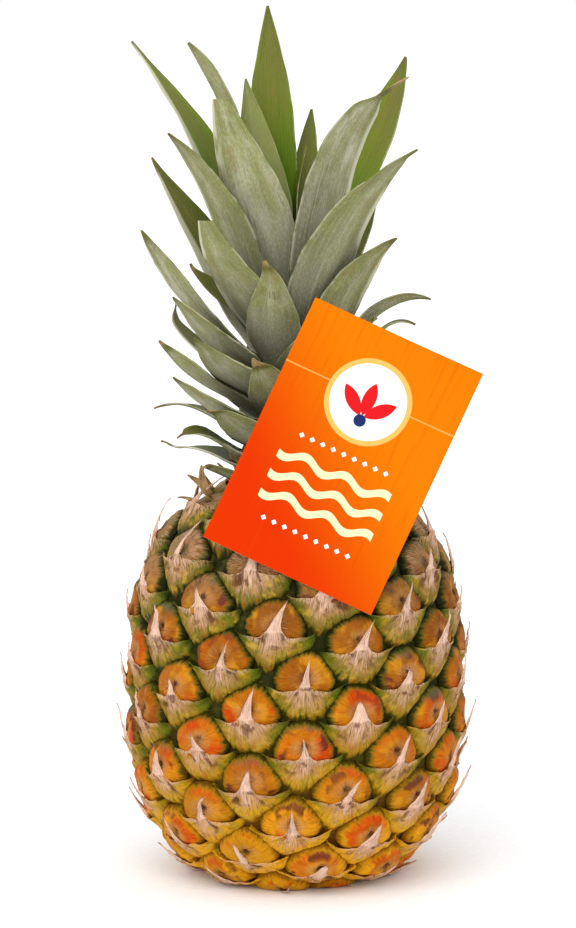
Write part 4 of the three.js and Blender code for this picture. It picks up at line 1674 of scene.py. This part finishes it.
# ---------------------------------------------------------------- the tag
@dataclass
class Tag:
    """The card swing tag that leans over the fruit's shoulder."""

    width: float = 64.0
    height: float = 92.0
    thickness: float = 0.5
    centre: tuple[float, float, float] = (16.2, -49.5, 158.0)
    roll: float = -25.0  # degrees, + anticlockwise as seen from the front
    tilt: float = 11.0  # degrees that its top leans back
    bow: float = 1.6  # half of how far two opposite corners stand in front of the middle
    columns: int = 32
    rows: int = 46

    def build(self) -> None:
        """Bends the card and puts it in place."""
        template = slab_template(self.columns, self.rows)
        local = template_places(template)
        x, y = local[:, 0] / 2, local[:, 1] / 2
        front = outer_face(local)
        z = np.where(front, 0.5, -0.5) * self.thickness + self.bow * (2 * (x + y) ** 2 - 0.5)
        flat = np.stack([x * self.width, -z, y * self.height], -1)
        tilted = Matrix.Rotation(-math.radians(self.tilt), 3, "X")
        turn = tilted @ Matrix.Rotation(-math.radians(self.roll), 3, "Y")
        places = flat @ np.array(turn).T + np.array(self.centre)
        marks = {"card_place": np.stack([x * self.width, y * self.height, front * 1.0], -1)[None]}
        card = stamp("swing_tag", template, places[None], marks, 50.0)
        dress(card, PrintedCard().material(), Slot.CARD, "tag")


# ---------------------------------------------------------------- floor, light and camera
@dataclass
class Studio:
    """A pale seamless floor, soft light and the camera."""

    aim: tuple[float, float, float] = (-2.9, 0.0, 149.0)
    distance: float = 1300.0
    elevation: float = 7.0
    lens: float = 140.08
    sensor: float = 36.0
    key_place: tuple[float, float, float] = (-320.0, -1150.0, 1150.0)
    key_softness: float = 60.0  # how wide the key light looks, in degrees
    key_power: float = 1.6  # watts on each square metre
    tent_power: float = 1.0
    floor_reach: float = 30000.0  # from its middle to each edge

    def build(self) -> None:
        """Sets up the floor, the lights and the camera."""
        self.floor()
        self.light("key_light", self.key_place, self.key_softness, self.key_power)
        world = bpy.data.worlds.new("white_tent")
        world.use_nodes = True
        tent = world.node_tree.nodes["Background"].inputs
        tent["Color"].default_value = (1.0, 1.0, 1.0, 1.0)
        tent["Strength"].default_value = self.tent_power
        scene = bpy.context.scene
        scene.world = world
        scene.view_settings.view_transform = "Standard"
        camera = bpy.data.objects.new("camera", bpy.data.cameras.new("camera"))
        camera.data.lens = self.lens
        camera.data.sensor_width = self.sensor
        angle = math.radians(self.elevation)
        back = Vector((0, -math.cos(angle), math.sin(angle)))
        camera.location = (Vector(self.aim) + back * self.distance) * MM
        camera.rotation_euler = (-back).to_track_quat("-Z", "Y").to_euler()
        scene.collection.objects.link(camera)
        scene.camera = camera

    def floor(self) -> None:
        """A wide pale floor."""
        shape = bmesh.new()
        bmesh.ops.create_grid(shape, x_segments=1, y_segments=1, size=self.floor_reach * MM)
        mesh = to_mesh("floor", shape)
        floor = bpy.data.objects.new("floor", mesh)
        made = Surface("pale_matt_paper", Specular_IOR_Level=0.0)
        tooth = made.pattern(made.here, (2.5, 2.5, 2.5))
        colour = made.paint("#F6F8FA", ("#F9FBFD", Where(tooth, 0.4, 0.6)))
        mesh.materials.append(made.finish(colour, 0.9, tooth, 0.01))
        bpy.context.scene.collection.objects.link(floor)

    def light(self, name: str, place: tuple[float, float, float], softness: float, power: float) -> None:
        """Adds a distant soft light.

        Args:
            name: Its name.
            place: Where it shines from, in millimetres.
            softness: How wide it looks, in degrees.
            power: Watts on each square metre.
        """
        lamp = bpy.data.lights.new(name, "SUN")
        lamp.angle = math.radians(softness)
        lamp.energy = power
        hung = bpy.data.objects.new(name, lamp)
        hung.location = Vector(place) * MM
        facing = Vector(self.aim) * MM - hung.location
        hung.rotation_euler = facing.to_track_quat("-Z", "Y").to_euler()
        bpy.context.scene.collection.objects.link(hung)


def main() -> None:
    """Builds the pineapple over its CAD frame, then the studio round it."""
    logging.basicConfig(level=logging.INFO, format="%(name)s: %(message)s")
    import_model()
    form = FruitForm()
    flank = Flank(form)
    field = EyeField(flank, EyeSpiral())
    Core(flank).build()
    rind = WaxyRind().material()
    bract = DryingBract().material()
    bands = {"lower": (-9.0, 55.0), "middle": (55.0, 100.0), "upper": (100.0, flank.top + 6.0)}
    for band, (low, high) in bands.items():
        eyes = field.chosen(low, high)
        Domes(field).build(f"eye_domes_{band}", eyes, rind)
        Bracts(field).build(f"eye_bracts_{band}", eyes, bract)
    NeckScales().build(form)
    Crown(CrownForm(), form.neck_height).build()
    Tag().build()
    Studio().build()


if __name__ == "__main__":
    main()
